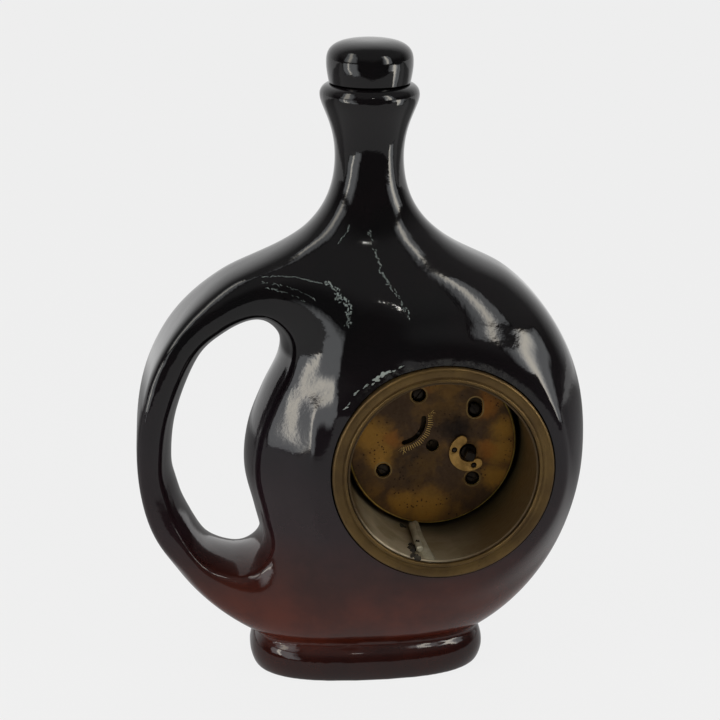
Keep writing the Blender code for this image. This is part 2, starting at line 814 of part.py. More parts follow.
def make_winding_arbor(steel):
    centre = world_centre(barrel_offset)
    pivot_end = plate_face_y
    shoulder = front_plate_y + seat_gap
    boss_start = barrel_rear_y + seat_gap
    arbor = turned("winding_arbor", [
        (0.0, pivot_end), (pivot_radius, pivot_end), (pivot_radius, shoulder), (arbor_shaft_radius, shoulder),
        (arbor_shaft_radius, boss_start), (arbor_boss_radius, boss_start),
        (arbor_boss_radius, arbor_boss_end_y), (0.0, arbor_boss_end_y),
    ], steel, centre, boss_steps)
    half = arbor_square / 2
    corner = half * arbor_corner_share
    square = [(half, -corner), (half, corner), (corner, half), (-corner, half),
              (-half, corner), (-half, -corner), (-corner, -half), (corner, -half)]
    end = slab("arbor_square_end", rotate_outline(square, arbor_turn_deg), arbor_boss_end_y - cup_wall,
               arbor_end_y, None, centre)
    boolean(arbor, end, "UNION")


def third_offset():
    return polar(centre_wheel_radius + third_pinion_radius, third_angle_deg)


def escape_offset():
    return polar(third_wheel_radius + escape_pinion_radius, escape_angle_deg, third_offset())


def pallet_offset():
    return (balance_offset[0] - staff_radius, balance_offset[1] - pallet_pivot_drop)


def make_plates(brass, steel):
    arbors = [barrel_offset, third_offset(), escape_offset(), pallet_offset(), balance_offset]
    back = slab("back_plate", disc_outline(back_plate_radius, turned_steps), inner_back_y, back_plate_y, brass)
    hole_cut(back, centre_arbor_radius + seat_gap, inner_back_y, back_plate_y)
    hole_cut(back, arbor_boss_radius + seat_gap, inner_back_y, back_plate_y, barrel_offset, boss_steps)
    for offset in arbors[1:]:
        cap = lever_thickness if offset == balance_offset else 0.0
        high = back_plate_y - cap - cut_overrun / 2
        hole_cut(back, pivot_radius + seat_gap, inner_back_y - cap, high, offset)
    for angle in pillar_angles_deg:
        hole_cut(back, screw_shank_radius + seat_gap, inner_back_y, back_plate_y,
                 polar(plate_circle_radius, angle))
    boss = slab("regulator_boss", disc_outline(lever_boss_radius), back_plate_y - back_plate_thickness / 4,
                back_plate_y + lever_thickness + seat_gap, None, world_centre(balance_offset))
    boolean(back, boss, "UNION")

    low = plate_face_y
    front = slab("front_plate", disc_outline(cup_radius - cup_wall - seat_gap, turned_steps),
                 low, front_plate_y, brass)
    hole_cut(front, centre_arbor_radius + seat_gap, low, front_plate_y)
    for offset in arbors:
        hole_cut(front, pivot_radius + seat_gap, low, front_plate_y, offset)
    post_x = cannon_pitch_radius + minute_wheel_radius
    post = slab("minute_post", disc_outline(minute_post_radius), hour_wheel_y - 2 * motion_wheel_thickness,
                low + front_plate_thickness / 4, None, world_centre((post_x, 0.0)))
    boolean(front, post, "UNION")

    for i, angle in enumerate(pillar_angles_deg, start=1):
        centre = world_centre(polar(plate_circle_radius, angle))
        bore = screw_shank_radius + seat_gap
        top, foot = inner_back_y - seat_gap, front_plate_y + seat_gap
        bore_end = back_plate_y - screw_shank_length - seat_gap
        turned(f"pillar_{i}", [(bore, top), (pillar_radius, top), (pillar_radius, foot), (0.0, foot),
                               (0.0, bore_end), (bore, bore_end)], steel, centre, small_steps)
        head = back_plate_y + seat_gap
        crown = head + screw_head_height
        screw = turned(f"plate_screw_{i}", [
            (0.0, crown), (screw_head_radius * 0.8, crown), (screw_head_radius, crown - screw_head_height / 3),
            (screw_head_radius, head), (screw_shank_radius, head),
            (screw_shank_radius, back_plate_y - screw_shank_length), (0.0, back_plate_y - screw_shank_length),
        ], steel, centre, medium_steps)
        half_slot = screw_slot_width / 2
        long = screw_head_radius + cut_overrun
        corners = [(long, -half_slot), (long, half_slot), (-long, half_slot), (-long, -half_slot)]
        boolean(screw, slab(f"plate_screw_slot_{i}", rotate_outline(corners, 1.7 * angle),
                            crown - screw_slot_depth, crown + cut_overrun, None, centre))


def spiral_outline(inner, outer, turns, ribbon, points_per_turn):
    count = int(turns * points_per_turn)
    path = []
    for i in range(count + 1):
        share = i / count
        path.append((inner + (outer - inner) * share, math.tau * turns * share))
    outside = [((r + ribbon / 2) * math.cos(a), (r + ribbon / 2) * math.sin(a)) for r, a in path]
    inside = [((r - ribbon / 2) * math.cos(a), (r - ribbon / 2) * math.sin(a)) for r, a in path]
    return outside + inside[::-1]


def make_barrel(brass, spring_steel):
    centre = world_centre(barrel_offset)
    rim_inner = barrel_radius - barrel_wall
    wheel_low = barrel_wheel_y - wheel_thickness
    barrel = turned("mainspring_barrel", [
        (0.0, barrel_wheel_y - wheel_thickness / 2), (barrel_radius, barrel_wheel_y - wheel_thickness / 2),
        (barrel_radius, barrel_rear_y), (rim_inner, barrel_rear_y), (rim_inner, barrel_wheel_y),
        (0.0, barrel_wheel_y),
    ], brass, centre, barrel_steps)
    add_teeth(barrel, barrel_teeth, barrel_wheel_radius - seat_gap / 2, leaf_depth_share, wheel_low,
              barrel_wheel_y - seat_gap / 3, centre)
    hole_cut(barrel, arbor_shaft_radius + seat_gap, wheel_low, barrel_wheel_y, barrel_offset)
    outer = rim_inner - seat_gap - mainspring_ribbon / 2
    inner = arbor_shaft_radius + seat_gap + mainspring_ribbon / 2
    slab("mainspring", spiral_outline(inner, outer, mainspring_turns, mainspring_ribbon,
                                      spring_points_per_turn),
         barrel_wheel_y + seat_gap, barrel_rear_y - seat_gap, spring_steel, centre)


def arbor(name, front_end, rear_end, pivot, material, centre=(clock_x, clock_z)):
    """A turned arbor with a thinner pivot at each plate."""
    shaft = pivot_radius + pivot_shoulder
    return turned(name, [
        (0.0, front_end), (pivot, front_end), (pivot, front_plate_y + seat_gap),
        (shaft, front_plate_y + seat_gap), (shaft, inner_back_y - seat_gap),
        (pivot, inner_back_y - seat_gap), (pivot, rear_end), (0.0, rear_end),
    ], material, centre, small_steps)


def make_train(brass):
    clear = seat_gap / 2
    wheel = arbor("centre_wheel", minute_hand_y - hand_thickness, back_plate_y + seat_gap,
                  centre_arbor_radius, brass)
    add_teeth(wheel, centre_wheel_teeth, centre_wheel_radius - clear, tooth_depth_share,
              centre_wheel_y - wheel_thickness, centre_wheel_y)
    add_teeth(wheel, centre_pinion_leaves, barrel_pinion_radius(), leaf_depth_share,
              centre_pinion_y - centre_pinion_length, centre_pinion_y)
    centre = world_centre(third_offset())
    wheel = arbor("third_wheel", plate_face_y, back_plate_y, pivot_radius, brass, centre)
    add_teeth(wheel, third_wheel_teeth, third_wheel_radius - clear, tooth_depth_share,
              third_wheel_y - wheel_thickness, third_wheel_y, centre)
    start = centre_wheel_y + pinion_length / 4
    add_teeth(wheel, third_pinion_leaves, third_pinion_radius - clear, leaf_depth_share,
              start - pinion_length, start, centre)
    centre = world_centre(escape_offset())
    wheel = arbor("escape_wheel", plate_face_y, back_plate_y, pivot_radius, brass, centre)
    add_teeth(wheel, escape_wheel_teeth, escape_wheel_radius, tooth_depth_share,
              escape_wheel_y - escape_thickness, escape_wheel_y, centre, escape_lean_share)
    start = third_wheel_y + pinion_length / 4
    add_teeth(wheel, escape_pinion_leaves, escape_pinion_radius - clear, leaf_depth_share,
              start - pinion_length, start, centre)


def barrel_pinion_radius():
    """The centre pinion meets the barrel wheel on the line between their arbors."""
    return math.hypot(*barrel_offset) - barrel_wheel_radius - seat_gap / 2


def make_escapement(brass, steel, spring_steel):
    staff = world_centre(balance_offset)
    top = back_plate_y - lever_thickness - seat_gap
    rim_low = balance_y - balance_thickness
    front_end = plate_face_y
    roller_low = escape_wheel_y - escape_thickness
    balance = turned("balance_wheel", [
        (0.0, front_end), (staff_radius, front_end), (staff_radius, roller_low), (roller_radius, roller_low),
        (roller_radius, escape_wheel_y + escape_thickness), (staff_radius, escape_wheel_y + escape_thickness),
        (staff_radius, rim_low), (balance_radius, rim_low), (balance_radius, balance_y),
        (staff_radius, balance_y), (staff_radius, top), (0.0, top),
    ], brass, staff, wheel_steps)
    inner = balance_radius - balance_rim
    gap_deg = math.degrees(balance_arm_width / inner)
    for i, start in enumerate((0.0, 180.0)):
        window = []
        for step in range(9):
            angle_deg = start + gap_deg + (180.0 - 2 * gap_deg) * step / 8
            window.append(polar(inner, angle_deg))
        far = polar(balance_arm_width, start + 90.0)
        window.append((-math.cos(math.radians(start)) * inner * 0.5, far[1]))
        window.append((math.cos(math.radians(start)) * inner * 0.5, far[1]))
        cutter = slab(f"balance_window_{i}", window, rim_low - cut_overrun / 2, balance_y + cut_overrun / 2,
                      None, staff)
        boolean(balance, cutter)

    ribbon = hairspring_ribbon
    spring = slab("hairspring", spiral_outline(hairspring_inner_radius, hairspring_outer_radius,
                                               hairspring_turns, ribbon, spring_points_per_turn),
                  hairspring_y - hairspring_height, hairspring_y, spring_steel, staff)
    end_deg = 360.0 * (hairspring_turns % 1.0)
    stud_centre = polar(hairspring_outer_radius, end_deg, balance_offset)
    stud = slab("hairspring_stud", disc_outline(2 * ribbon, 8), hairspring_y - hairspring_height,
                inner_back_y - seat_gap, None, world_centre(stud_centre))
    boolean(spring, stud, "UNION")

    pivot = world_centre(pallet_offset())
    low, high = escape_wheel_y - escape_thickness, escape_wheel_y
    thin = pivot_radius * 0.75
    lever = turned("pallet_lever", [
        (0.0, front_end), (thin, front_end), (thin, low), (pallet_hub_radius, low),
        (pallet_hub_radius, high), (thin, high), (thin, back_plate_y), (0.0, back_plate_y),
    ], steel, pivot, small_steps)
    half = pallet_arm_width / 2
    fork_end = math.hypot(balance_offset[0] - pallet_offset()[0], balance_offset[1] - pallet_offset()[1])
    fork_end -= roller_radius + 2 * seat_gap
    for i, (angle_deg, length) in enumerate(((90.0, fork_end), (-90.0 - pallet_spread_deg, pallet_reach),
                                             (-90.0 + pallet_spread_deg, pallet_reach))):
        c, s = math.cos(math.radians(angle_deg)), math.sin(math.radians(angle_deg))
        arm = [(-s * half, c * half), (s * half, -c * half),
               (length * c + s * half / 2, length * s - c * half / 2),
               (length * c - s * half / 2, length * s + c * half / 2)]
        arm = slab(f"pallet_arm_{i}", arm, low + seat_gap / 3, high - seat_gap / 3, None, pivot)
        boolean(lever, arm, "UNION")

    eye = disc_outline(lever_eye_radius, boss_steps)
    base = back_plate_y + seat_gap
    regulator = slab("regulator_lever", eye, base, base + lever_thickness, steel, staff)
    middle_deg = (slot_start_deg + slot_end_deg) / 2
    c, s = math.cos(math.radians(middle_deg)), math.sin(math.radians(middle_deg))
    half = lever_width / 2
    start, end = lever_eye_radius / 2, slot_radius + half / 2
    arm = [(start * c - s * half, start * s + c * half), (start * c + s * half, start * s - c * half),
           (end * c + s * half, end * s - c * half), (end * c - s * half, end * s + c * half)]
    boolean(regulator, slab("regulator_arm", arm, base + seat_gap / 3, base + lever_thickness - seat_gap / 3,
                            None, staff), "UNION")
    pin = slab("regulator_pin", disc_outline(lever_pin_radius, 10, polar(slot_radius, middle_deg)),
               base + lever_thickness / 2, cup_back_y - cup_wall - seat_gap, None, staff)
    boolean(regulator, pin, "UNION")
    eye_hole = slab("regulator_eye_cutter", disc_outline(lever_boss_radius + seat_gap),
                    base - cut_overrun, base + lever_thickness + cut_overrun, None, staff)
    boolean(regulator, eye_hole)


def make_motion_work(brass):
    low = plate_face_y - seat_gap
    bore = centre_arbor_radius + cannon_bore_gap
    pipe_end = minute_hand_y - hand_thickness
    clear = seat_gap / 2
    leaf_end = minute_wheel_y - 2 * motion_wheel_thickness
    cannon = turned("cannon_pinion", [(0.0, leaf_end + clear), (cannon_radius, leaf_end + clear),
                                      (cannon_radius, pipe_end), (0.0, pipe_end)], brass, steps=medium_steps)
    add_teeth(cannon, cannon_leaves, cannon_pitch_radius - clear, leaf_depth_share, leaf_end, low)
    hole_cut(cannon, bore, pipe_end, low)
    post_offset = (cannon_pitch_radius + minute_wheel_radius, 0.0)
    post = world_centre(post_offset)
    hole = minute_post_radius + seat_gap
    pinion_end = hour_wheel_y - motion_wheel_thickness - seat_gap
    hub = minute_pinion_radius - clear - leaf_depth_share * minute_pinion_radius
    wheel = turned("minute_wheel", [(0.0, low), (hub, low), (hub, pinion_end + clear), (0.0, pinion_end + clear)],
                   brass, post, small_steps)
    add_teeth(wheel, minute_wheel_teeth, minute_wheel_radius - clear, tooth_depth_share,
              minute_wheel_y - motion_wheel_thickness, minute_wheel_y, post)
    add_teeth(wheel, minute_pinion_leaves, minute_pinion_radius - clear, leaf_depth_share,
              pinion_end, minute_wheel_y - motion_wheel_thickness / 2, post)
    hole_cut(wheel, hole, pinion_end, low, post_offset)
    hour_radius = cannon_pitch_radius + minute_wheel_radius - minute_pinion_radius - clear
    pipe_bore = cannon_radius + seat_gap
    pipe_end = hour_hand_y - hand_thickness
    wheel = turned("hour_wheel", [
        (0.0, hour_wheel_y - clear), (pipe_bore + hour_pipe_wall, hour_wheel_y - clear),
        (pipe_bore + hour_pipe_wall, pipe_end), (0.0, pipe_end),
    ], brass, steps=medium_steps)
    add_teeth(wheel, hour_wheel_teeth, hour_radius, tooth_depth_share,
              hour_wheel_y - motion_wheel_thickness, hour_wheel_y)
    hole_cut(wheel, pipe_bore, pipe_end, hour_wheel_y, steps=medium_steps)


def hand_outline(length, hub, half_width):
    """A spade hand that points up, with a short tail."""
    wide = spade_half_width
    neck = length * 0.62
    half = [(half_width, -1.6 * hub), (half_width, -0.8 * hub)]
    half += [(hub * math.cos(turn), hub * math.sin(turn)) for turn in (-0.7, -0.25, 0.25, 0.7, 1.15)]
    half += [(half_width, hub), (half_width, neck), (wide, neck + 1.2 * wide), (0.9 * wide, neck + 2.4 * wide),
             (half_width / 2, neck + 4.0 * wide)]
    return half + [(0.0, length)] + [(-x, z) for x, z in reversed(half)]


def make_dial_side(brass, enamel, blued_steel, glass):
    dial_rear_y = dial_front_y + dial_thickness
    turned("dial", [(dial_hole_radius, dial_rear_y), (dial_radius, dial_rear_y), (dial_radius, dial_front_y),
                    (dial_hole_radius, dial_front_y)], enamel)
    hour_hole = cannon_radius + seat_gap + hour_pipe_wall + seat_gap
    minute_hole = cannon_radius + seat_gap
    for name, length, hole, y, turn_deg in (
            ("hour_hand", hour_hand_length, hour_hole, hour_hand_y, -56.0),
            ("minute_hand", minute_hand_length, minute_hole, minute_hand_y, 48.0)):
        hub = hole + hand_hub_margin
        outline = rotate_outline(hand_outline(length, hub, hand_stem_width / 2), turn_deg)
        hand = slab(name, outline, y - hand_thickness, y, blued_steel)
        hole_cut(hand, hole, y - hand_thickness, y, steps=medium_steps)

    glass_rear = glass_edge_y + seat_gap
    thin = stack_radius - sight_ring_width
    turned("sight_ring", [
        (stack_radius, dial_front_y - seat_gap), (stack_radius, glass_rear),
        (stack_radius - sight_ring_width / 2, glass_rear), (thin, dial_front_y - seat_gap),
    ], brass)
    profile = []
    for rise, edge in ((glass_dome_rise, glass_edge_y - glass_thickness), (glass_dome_rise, glass_edge_y)):
        row = []
        for i in range(4):
            share = i / 3
            row.append((stack_radius * share, edge - rise * (1.0 - share * share)))
        profile += row if not profile else row[::-1]
    turned("dial_glass", profile, glass)
    face = -rear_face_y
    seat = -(land_y + seat_gap)
    skirt_inner = sleeve_outer_radius + seat_gap
    skirt_outer = skirt_inner + bezel_skirt_wall
    turned("front_bezel", [
        (bezel_inner_radius, seat), (bezel_inner_radius, face + bezel_round),
        (bezel_inner_radius + bezel_round, face), (bezel_outer_radius - 2 * bezel_round, face),
        (bezel_outer_radius - bezel_round / 2, face + bezel_round / 2),
        (bezel_outer_radius, face + bezel_round * 1.4),
        (bezel_outer_radius, seat), (skirt_outer, seat), (skirt_outer, seat + bezel_skirt_depth),
        (skirt_inner, seat + bezel_skirt_depth), (skirt_inner, seat),
    ], brass, steps=rim_steps)


def main():
    clear_scene()
    glaze = make_material("dark_glaze", (0.035, 0.022, 0.020), 0.08)
    brass = make_material("aged_brass", (0.32, 0.20, 0.08), 0.4, 1.0)
    tin = make_material("dull_tin", (0.28, 0.27, 0.21), 0.45, 1.0)
    steel = make_material("dark_steel", (0.10, 0.08, 0.06), 0.45, 1.0)
    spring_steel = make_material("spring_steel", (0.25, 0.25, 0.27), 0.3, 1.0)
    blued_steel = make_material("blued_steel", (0.03, 0.04, 0.08), 0.3, 1.0)
    enamel = make_material("dial_enamel", (0.80, 0.77, 0.68), 0.35)
    glass = make_material("glass", (0.90, 0.93, 0.93), 0.03)
    make_pottery(glaze)
    make_case(brass, tin)
    make_retaining_post(tin)
    make_cup(brass)
    make_keeper(brass, steel)
    make_winding_arbor(steel)
    make_plates(brass, steel)
    make_barrel(brass, spring_steel)
    make_train(brass)
    make_escapement(brass, steel, spring_steel)
    make_motion_work(brass)
    make_dial_side(brass, enamel, blued_steel, glass)


main()
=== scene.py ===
"""The looks of a glazed pottery jug that carries a clock. Metres, +Z up, +Y is the open rear."""
import math

import bmesh
import bpy
import numpy as np
from mathutils import Matrix, Vector
from mathutils.bvhtree import BVHTree


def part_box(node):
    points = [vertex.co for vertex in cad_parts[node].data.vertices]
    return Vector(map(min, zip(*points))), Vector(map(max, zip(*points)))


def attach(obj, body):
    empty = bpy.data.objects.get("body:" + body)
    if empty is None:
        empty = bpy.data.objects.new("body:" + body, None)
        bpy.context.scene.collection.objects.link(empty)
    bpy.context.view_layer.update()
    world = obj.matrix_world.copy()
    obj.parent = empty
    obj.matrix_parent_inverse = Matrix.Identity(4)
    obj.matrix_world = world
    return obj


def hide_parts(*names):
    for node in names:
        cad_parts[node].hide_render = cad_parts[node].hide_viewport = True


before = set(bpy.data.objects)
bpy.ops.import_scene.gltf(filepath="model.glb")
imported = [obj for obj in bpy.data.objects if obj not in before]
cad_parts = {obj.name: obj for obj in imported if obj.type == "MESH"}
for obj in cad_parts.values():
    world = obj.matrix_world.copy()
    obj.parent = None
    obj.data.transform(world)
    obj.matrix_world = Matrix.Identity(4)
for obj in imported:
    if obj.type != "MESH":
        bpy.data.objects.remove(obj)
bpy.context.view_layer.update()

# Body shape, from the same values as the part's source, but for what is the scene's own: five points of the
# hole's upper edge, the depth at the hole's foot and how much squarer the sections are.
foot_half_length = 0.0486
foot_half_depth = 0.0280
foot_x = -0.0027
foot_height = 0.0142
foot_bulge = 0.0020
foot_power = 2.62
foot_rim = 0.0065
foot_recess = 0.0020
foot_crease = 0.0013
foot_sink = 0.0102
base_thickness = 0.0055
body_half_width = 0.0939
body_rise = 0.0908
body_drop = 0.0955
body_half_depth = 0.040
body_thick_x = -0.0230
lower_body_x = -0.0060
outline_power = 2.15
outline_drop_power = 2.05
depth_rise_power = 2.3
depth_drop_power = 2.6
pottery_wall = 0.0055
shoulder_share = 0.8062
shoulder_lower_reach = 0.0154
shoulder_upper_reach = 0.0345
shoulder_length = 0.0484
neck_x = -0.00295
neck_radius = 0.01405
neck_length = 0.0255
neck_upper_reach = 0.014
lip_radius = 0.0203
lip_lower_reach = 0.005
lip_thickness = 0.0042
bore_radius = 0.0098
bore_depth = 0.044
ring_clearance = 0.0006
land_width = 0.0046
land_inset = 0.0037
land_blend = 0.013
handle_strap = 0.0104
hole_clock_gap = 0.0122
hole_base_margin = 0.0435
hole_top_margin = 0.0273
hole_edge_share = 0.49
hole_foot_share = 0.58
hole_foot_reach = 0.040
left_square_extra = 0.45
right_square_extra = 0.85
handle_square_extra = 2.8
handle_square_fade = 0.030
hole_blend = 0.045
hole_wall_crown = 0.0036
hole_fillet = 0.0025
hole_outline_shares = (
    (0.995, 0.411), (0.945, 0.602), (0.762, 0.815), (0.540, 0.912), (0.322, 0.956), (0.165, 0.938),
    (0.055, 0.868), (0.070, 0.771), (0.192, 0.646), (0.296, 0.511), (0.325, 0.368), (0.257, 0.221),
    (0.213, 0.108), (0.304, 0.026), (0.468, 0.000), (0.705, 0.052), (0.880, 0.195), (0.955, 0.300),
)
hollow_side_shares = (
    (0.03, 0.38), (0.12, 0.44), (0.20, 0.40), (0.28, 0.37), (0.36, 0.39), (0.45, 0.32),
    (0.53, 0.20), (0.60, 0.17), (0.66, 0.17), (0.72, 0.13),
)
hollow_power = 2.6
cut_overrun = 0.002

# Stopper.
dome_inset = 0.00285
dome_side_height = 0.0072
dome_cap_height = 0.0097
dome_power = 3.0
dome_base_drop = 0.00105
slip_gap = 0.0003

# Metal pieces.
sheet = 0.0008
ring_width = 0.0062
ring_bead = 0.00075
ring_edge = 0.0012
flange_width = 0.0018
cup_corner = 0.0020
centre_hole_radius = 0.0028
screw_hole_radius = 0.0031
arbor_hole_radius = 0.0036
slot_radii = (0.0089, 0.0111)
slot_degs = (175.0, 260.0)
oval_stretch = 0.0013
screw_stretches = (0.0, oval_stretch, 0.0, 0.0)
pillar_angles_deg = (74.7, 139.9, 221.9, 333.1)
keeper_radii = (0.0041, 0.0084)
keeper_degs = (-128.0, 62.0)
keeper_bevel = 0.00018
rivet_hole_radius = 0.0012
screw_radius = 0.0012
screw_head_radius = 0.0026
screw_head_height = 0.0017
screw_slot_depth = 0.0007
screw_slot_half_length = 0.004
screw_slot_half_width = 0.0004
post_radius = 0.0015
arbor_square_length = 0.0052
arbor_square_turn_deg = 20.0
arbor_pivot_radius = 0.0008
arbor_radius = 0.0020
arbor_boss_radius = 0.0030
sight_radius = 0.0370
bezel_depth = 0.0050
bezel_crown = 0.0006
bezel_skirt_wall = 0.0010
glass_thickness = 0.0014
dial_mark_end = 0.0330

# Small marks on the surfaces.
ridge_points = 24
flux_margin = 0.0012
chip_rise = 0.00018
# Height and piece length of the pale flakes that are painted highlights on the shoulder.
glint_rise = 0.00005
glint_piece_length = 0.0010
scramble = 43758.5453


def middle_of(name):
    """The middle of a node's box, across and up."""
    low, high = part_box(name)
    return (low[0] + high[0]) / 2, (low[2] + high[2]) / 2


# Places that follow, from the values above and from the frame.
body_centre_height = foot_height + body_drop - foot_sink
shoulder_height = body_centre_height + shoulder_share * body_rise
neck_height = shoulder_height + shoulder_length
lip_height = neck_height + neck_length
lip_top = lip_height + lip_thickness
dome_radius = lip_radius - dome_inset
dome_waist_height = lip_top + slip_gap + dome_side_height
total_height = dome_waist_height + dome_cap_height
ring_low, ring_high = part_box("rear_ring")
clock_x, clock_z = middle_of("rear_ring")
ring_outer_radius = (ring_high[0] - ring_low[0]) / 2
clock_radius = ring_outer_radius + ring_clearance
rear_face_y = ring_high[1]
land_y = body_half_depth - land_inset
hole_inner_x = clock_x + ring_outer_radius + hole_clock_gap
hole_width = body_half_width - handle_strap - hole_inner_x
hole_bottom = body_centre_height - body_drop + hole_base_margin
hole_height = body_centre_height + body_rise - hole_top_margin - hole_bottom
cup_back_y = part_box("movement_cup")[1][1]
barrel_offset = (-0.0154, -0.0034)
balance_offset = (0.0138, 0.0114)

# The camera at the photograph's angle; a pixel is (across, down) in the photograph.
picture_size = 720
lens = 95.0
sensor_width = 36.0
camera_place = Vector((0.07973, 0.74896, 0.37950))
camera_right = Vector((-0.99459, 0.10373, 0.00515))
camera_up = Vector((-0.02722, -0.30819, 0.95093))
camera_back = camera_right.cross(camera_up)

# How fine the meshes are.
voxel = 0.0009
ring_points = 216
body_rows = 72
neck_rows = 36
turned_steps = 160


def node(tree, kind, inputs=None, **settings):
    item = tree.nodes.new("ShaderNode" + kind)
    for key, value in settings.items():
        setattr(item, key, value)
    for key, value in (inputs or {}).items():
        if isinstance(value, bpy.types.NodeSocket):
            tree.links.new(value, item.inputs[key])
        else:
            item.inputs[key].default_value = value
    return item


def new_material(name, **inputs):
    item = bpy.data.materials.new(name)
    item.use_nodes = True
    shader = item.node_tree.nodes["Principled BSDF"]
    for key, value in inputs.items():
        shader.inputs[key.replace("_", " ")].default_value = value
    return item, item.node_tree, shader


def glow_material(name):
    """A material with an empty node tree, for a stage piece that gives light."""
    item = bpy.data.materials.new(name)
    item.use_nodes = True
    item.node_tree.nodes.clear()
    return item, item.node_tree


def place(tree):
    return node(tree, "TexCoord").outputs["Object"]


def noise(tree, vector, scale, detail=4.0, distortion=0.0):
    return node(tree, "TexNoise", {"Vector": vector, "Scale": scale, "Detail": detail, "Roughness": 0.55,
                                   "Distortion": distortion}).outputs["Fac"]


def span(tree, value, low, high, to_low=0.0, to_high=1.0, kind="SMOOTHSTEP"):
    return node(tree, "MapRange", {"Value": value, "From Min": low, "From Max": high, "To Min": to_low,
                                   "To Max": to_high}, interpolation_type=kind).outputs["Result"]


def calc(tree, operation, first, second=0.0):
    return node(tree, "Math", {0: first, 1: second}, operation=operation).outputs[0]


def times(tree, first, second):
    return calc(tree, "MULTIPLY", first, second)


def mix(tree, share, first, second):
    first = (*first, 1.0) if isinstance(first, tuple) else first
    second = (*second, 1.0) if isinstance(second, tuple) else second
    item = node(tree, "Mix", {0: share, 6: first, 7: second}, data_type="RGBA")
    return item.outputs[2]


def ramp(tree, value, stops):
    item = node(tree, "ValToRGB", {"Fac": value})
    elements = item.color_ramp.elements
    while len(elements) < len(stops):
        elements.new(0.5)
    for element, (position, colour) in zip(elements, stops):
        element.position = position
        element.color = (*colour, 1.0)
    return item.outputs["Color"]


def bump(tree, shader, height, strength, distance):
    item = node(tree, "Bump", {"Height": height, "Strength": strength, "Distance": distance})
    tree.links.new(item.outputs["Normal"], shader.inputs["Normal"])


def spot(tree, vector, centre, inner, outer):
    """1 within inner of a point on the clock's face, falling to 0 at outer."""
    flat = node(tree, "VectorMath", {0: vector, 1: (1.0, 0.0, 1.0)}, operation="MULTIPLY").outputs[0]
    point = (clock_x + centre[0], 0.0, clock_z + centre[1])
    far = node(tree, "VectorMath", {0: flat, 1: point}, operation="DISTANCE").outputs["Value"]
    return span(tree, far, inner, outer, 1.0, 0.0)


def wavy(tree, vector, scale, amount):
    """The vector, pushed about by a noise so that edges drawn with it aren't clean."""
    push = node(tree, "TexNoise", {"Vector": vector, "Scale": scale, "Detail": 3.0}).outputs["Color"]
    centred = node(tree, "VectorMath", {0: push, 1: (0.5, 0.5, 0.5)}, operation="SUBTRACT").outputs[0]
    scaled = node(tree, "VectorMath", {0: centred, "Scale": amount}, operation="SCALE").outputs[0]
    return node(tree, "VectorMath", {0: vector, 1: scaled}, operation="ADD").outputs[0]


def link(tree, value, shader, socket):
    tree.links.new(value, shader.inputs[socket])


def make_glaze():
    item, tree, shader = new_material("dark_glaze", IOR=1.5)
    at = place(tree)
    moved = wavy(tree, at, 14.0, 0.030)
    height = node(tree, "SeparateXYZ", {"Vector": moved}).outputs["Z"]
    share = span(tree, height, 0.0, 0.20, kind="LINEAR")
    tone = ramp(tree, share, [
        (0.00, (0.036, 0.006, 0.003)), (0.050, (0.040, 0.007, 0.004)), (0.085, (0.140, 0.026, 0.013)),
        (0.16, (0.135, 0.025, 0.011)), (0.25, (0.058, 0.016, 0.012)), (0.35, (0.026, 0.012, 0.015)),
        (0.52, (0.013, 0.009, 0.012)), (0.75, (0.0026, 0.0023, 0.0027)),
    ])
    cloud = span(tree, noise(tree, at, 38.0, 5.0), 0.35, 0.70, 0.0, 0.45)
    tone = mix(tree, cloud, tone, (0.006, 0.003, 0.004))
    fleck = times(tree, span(tree, noise(tree, at, 900.0, 3.0), 0.66, 0.74, 0.0, 0.30),
                  span(tree, height, 0.07, 0.12, 1.0, 0.05))
    tone = mix(tree, fleck, tone, (0.055, 0.030, 0.022))
    bare = spot(tree, wavy(tree, at, 260.0, 0.0022), (0.0, 0.0), clock_radius + 0.0018,
                clock_radius + 0.0034)
    upper = times(tree, span(tree, noise(tree, at, 420.0, 4.0), 0.40, 0.62),
                  span(tree, height, clock_z + 0.028, clock_z + 0.044))
    land = times(tree, bare, upper)
    tone = mix(tree, land, tone, (0.030, 0.029, 0.028))
    link(tree, tone, shader, "Base Color")
    smear = span(tree, noise(tree, at, 60.0, 6.0, 1.0), 0.3, 0.8, 0.045, 0.115)
    link(tree, calc(tree, "ADD", smear, times(tree, land, 0.22)), shader, "Roughness")
    ripple = calc(tree, "ADD", noise(tree, at, 120.0, 2.0), times(tree, noise(tree, at, 700.0, 2.0), 0.30))
    bump(tree, shader, ripple, 0.12, 0.0006)
    return item


def make_metal(name, first, second, rough_low, rough_high, scale, metallic, depth=0.00005):
    """Aged metal: two tones in clouds, specks, uneven polish and fine grain."""
    item, tree, shader = new_material(name, Metallic=metallic)
    at = place(tree)
    cloud = span(tree, noise(tree, wavy(tree, at, scale, 0.3 / scale), scale, 6.0), 0.32, 0.68)
    tone = mix(tree, cloud, first, second)
    speck = span(tree, noise(tree, at, 14.0 * scale, 3.0), 0.62, 0.72, 0.0, 0.6)
    tone = mix(tree, speck, tone, tuple(0.35 * part for part in first))
    link(tree, tone, shader, "Base Color")
    fine = noise(tree, at, 9.0 * scale, 4.0)
    link(tree, span(tree, fine, 0.25, 0.75, rough_low, rough_high), shader, "Roughness")
    bump(tree, shader, fine, 0.35, depth)
    return item


def stained(tree, vector, tone, colour, spots):
    """The tone with round spots of a colour: each (centre, inner, outer, amount)."""
    for centre, inner, outer, amount in spots:
        share = times(tree, spot(tree, vector, centre, inner, outer), amount)
        tone = mix(tree, share, tone, colour)
    return tone


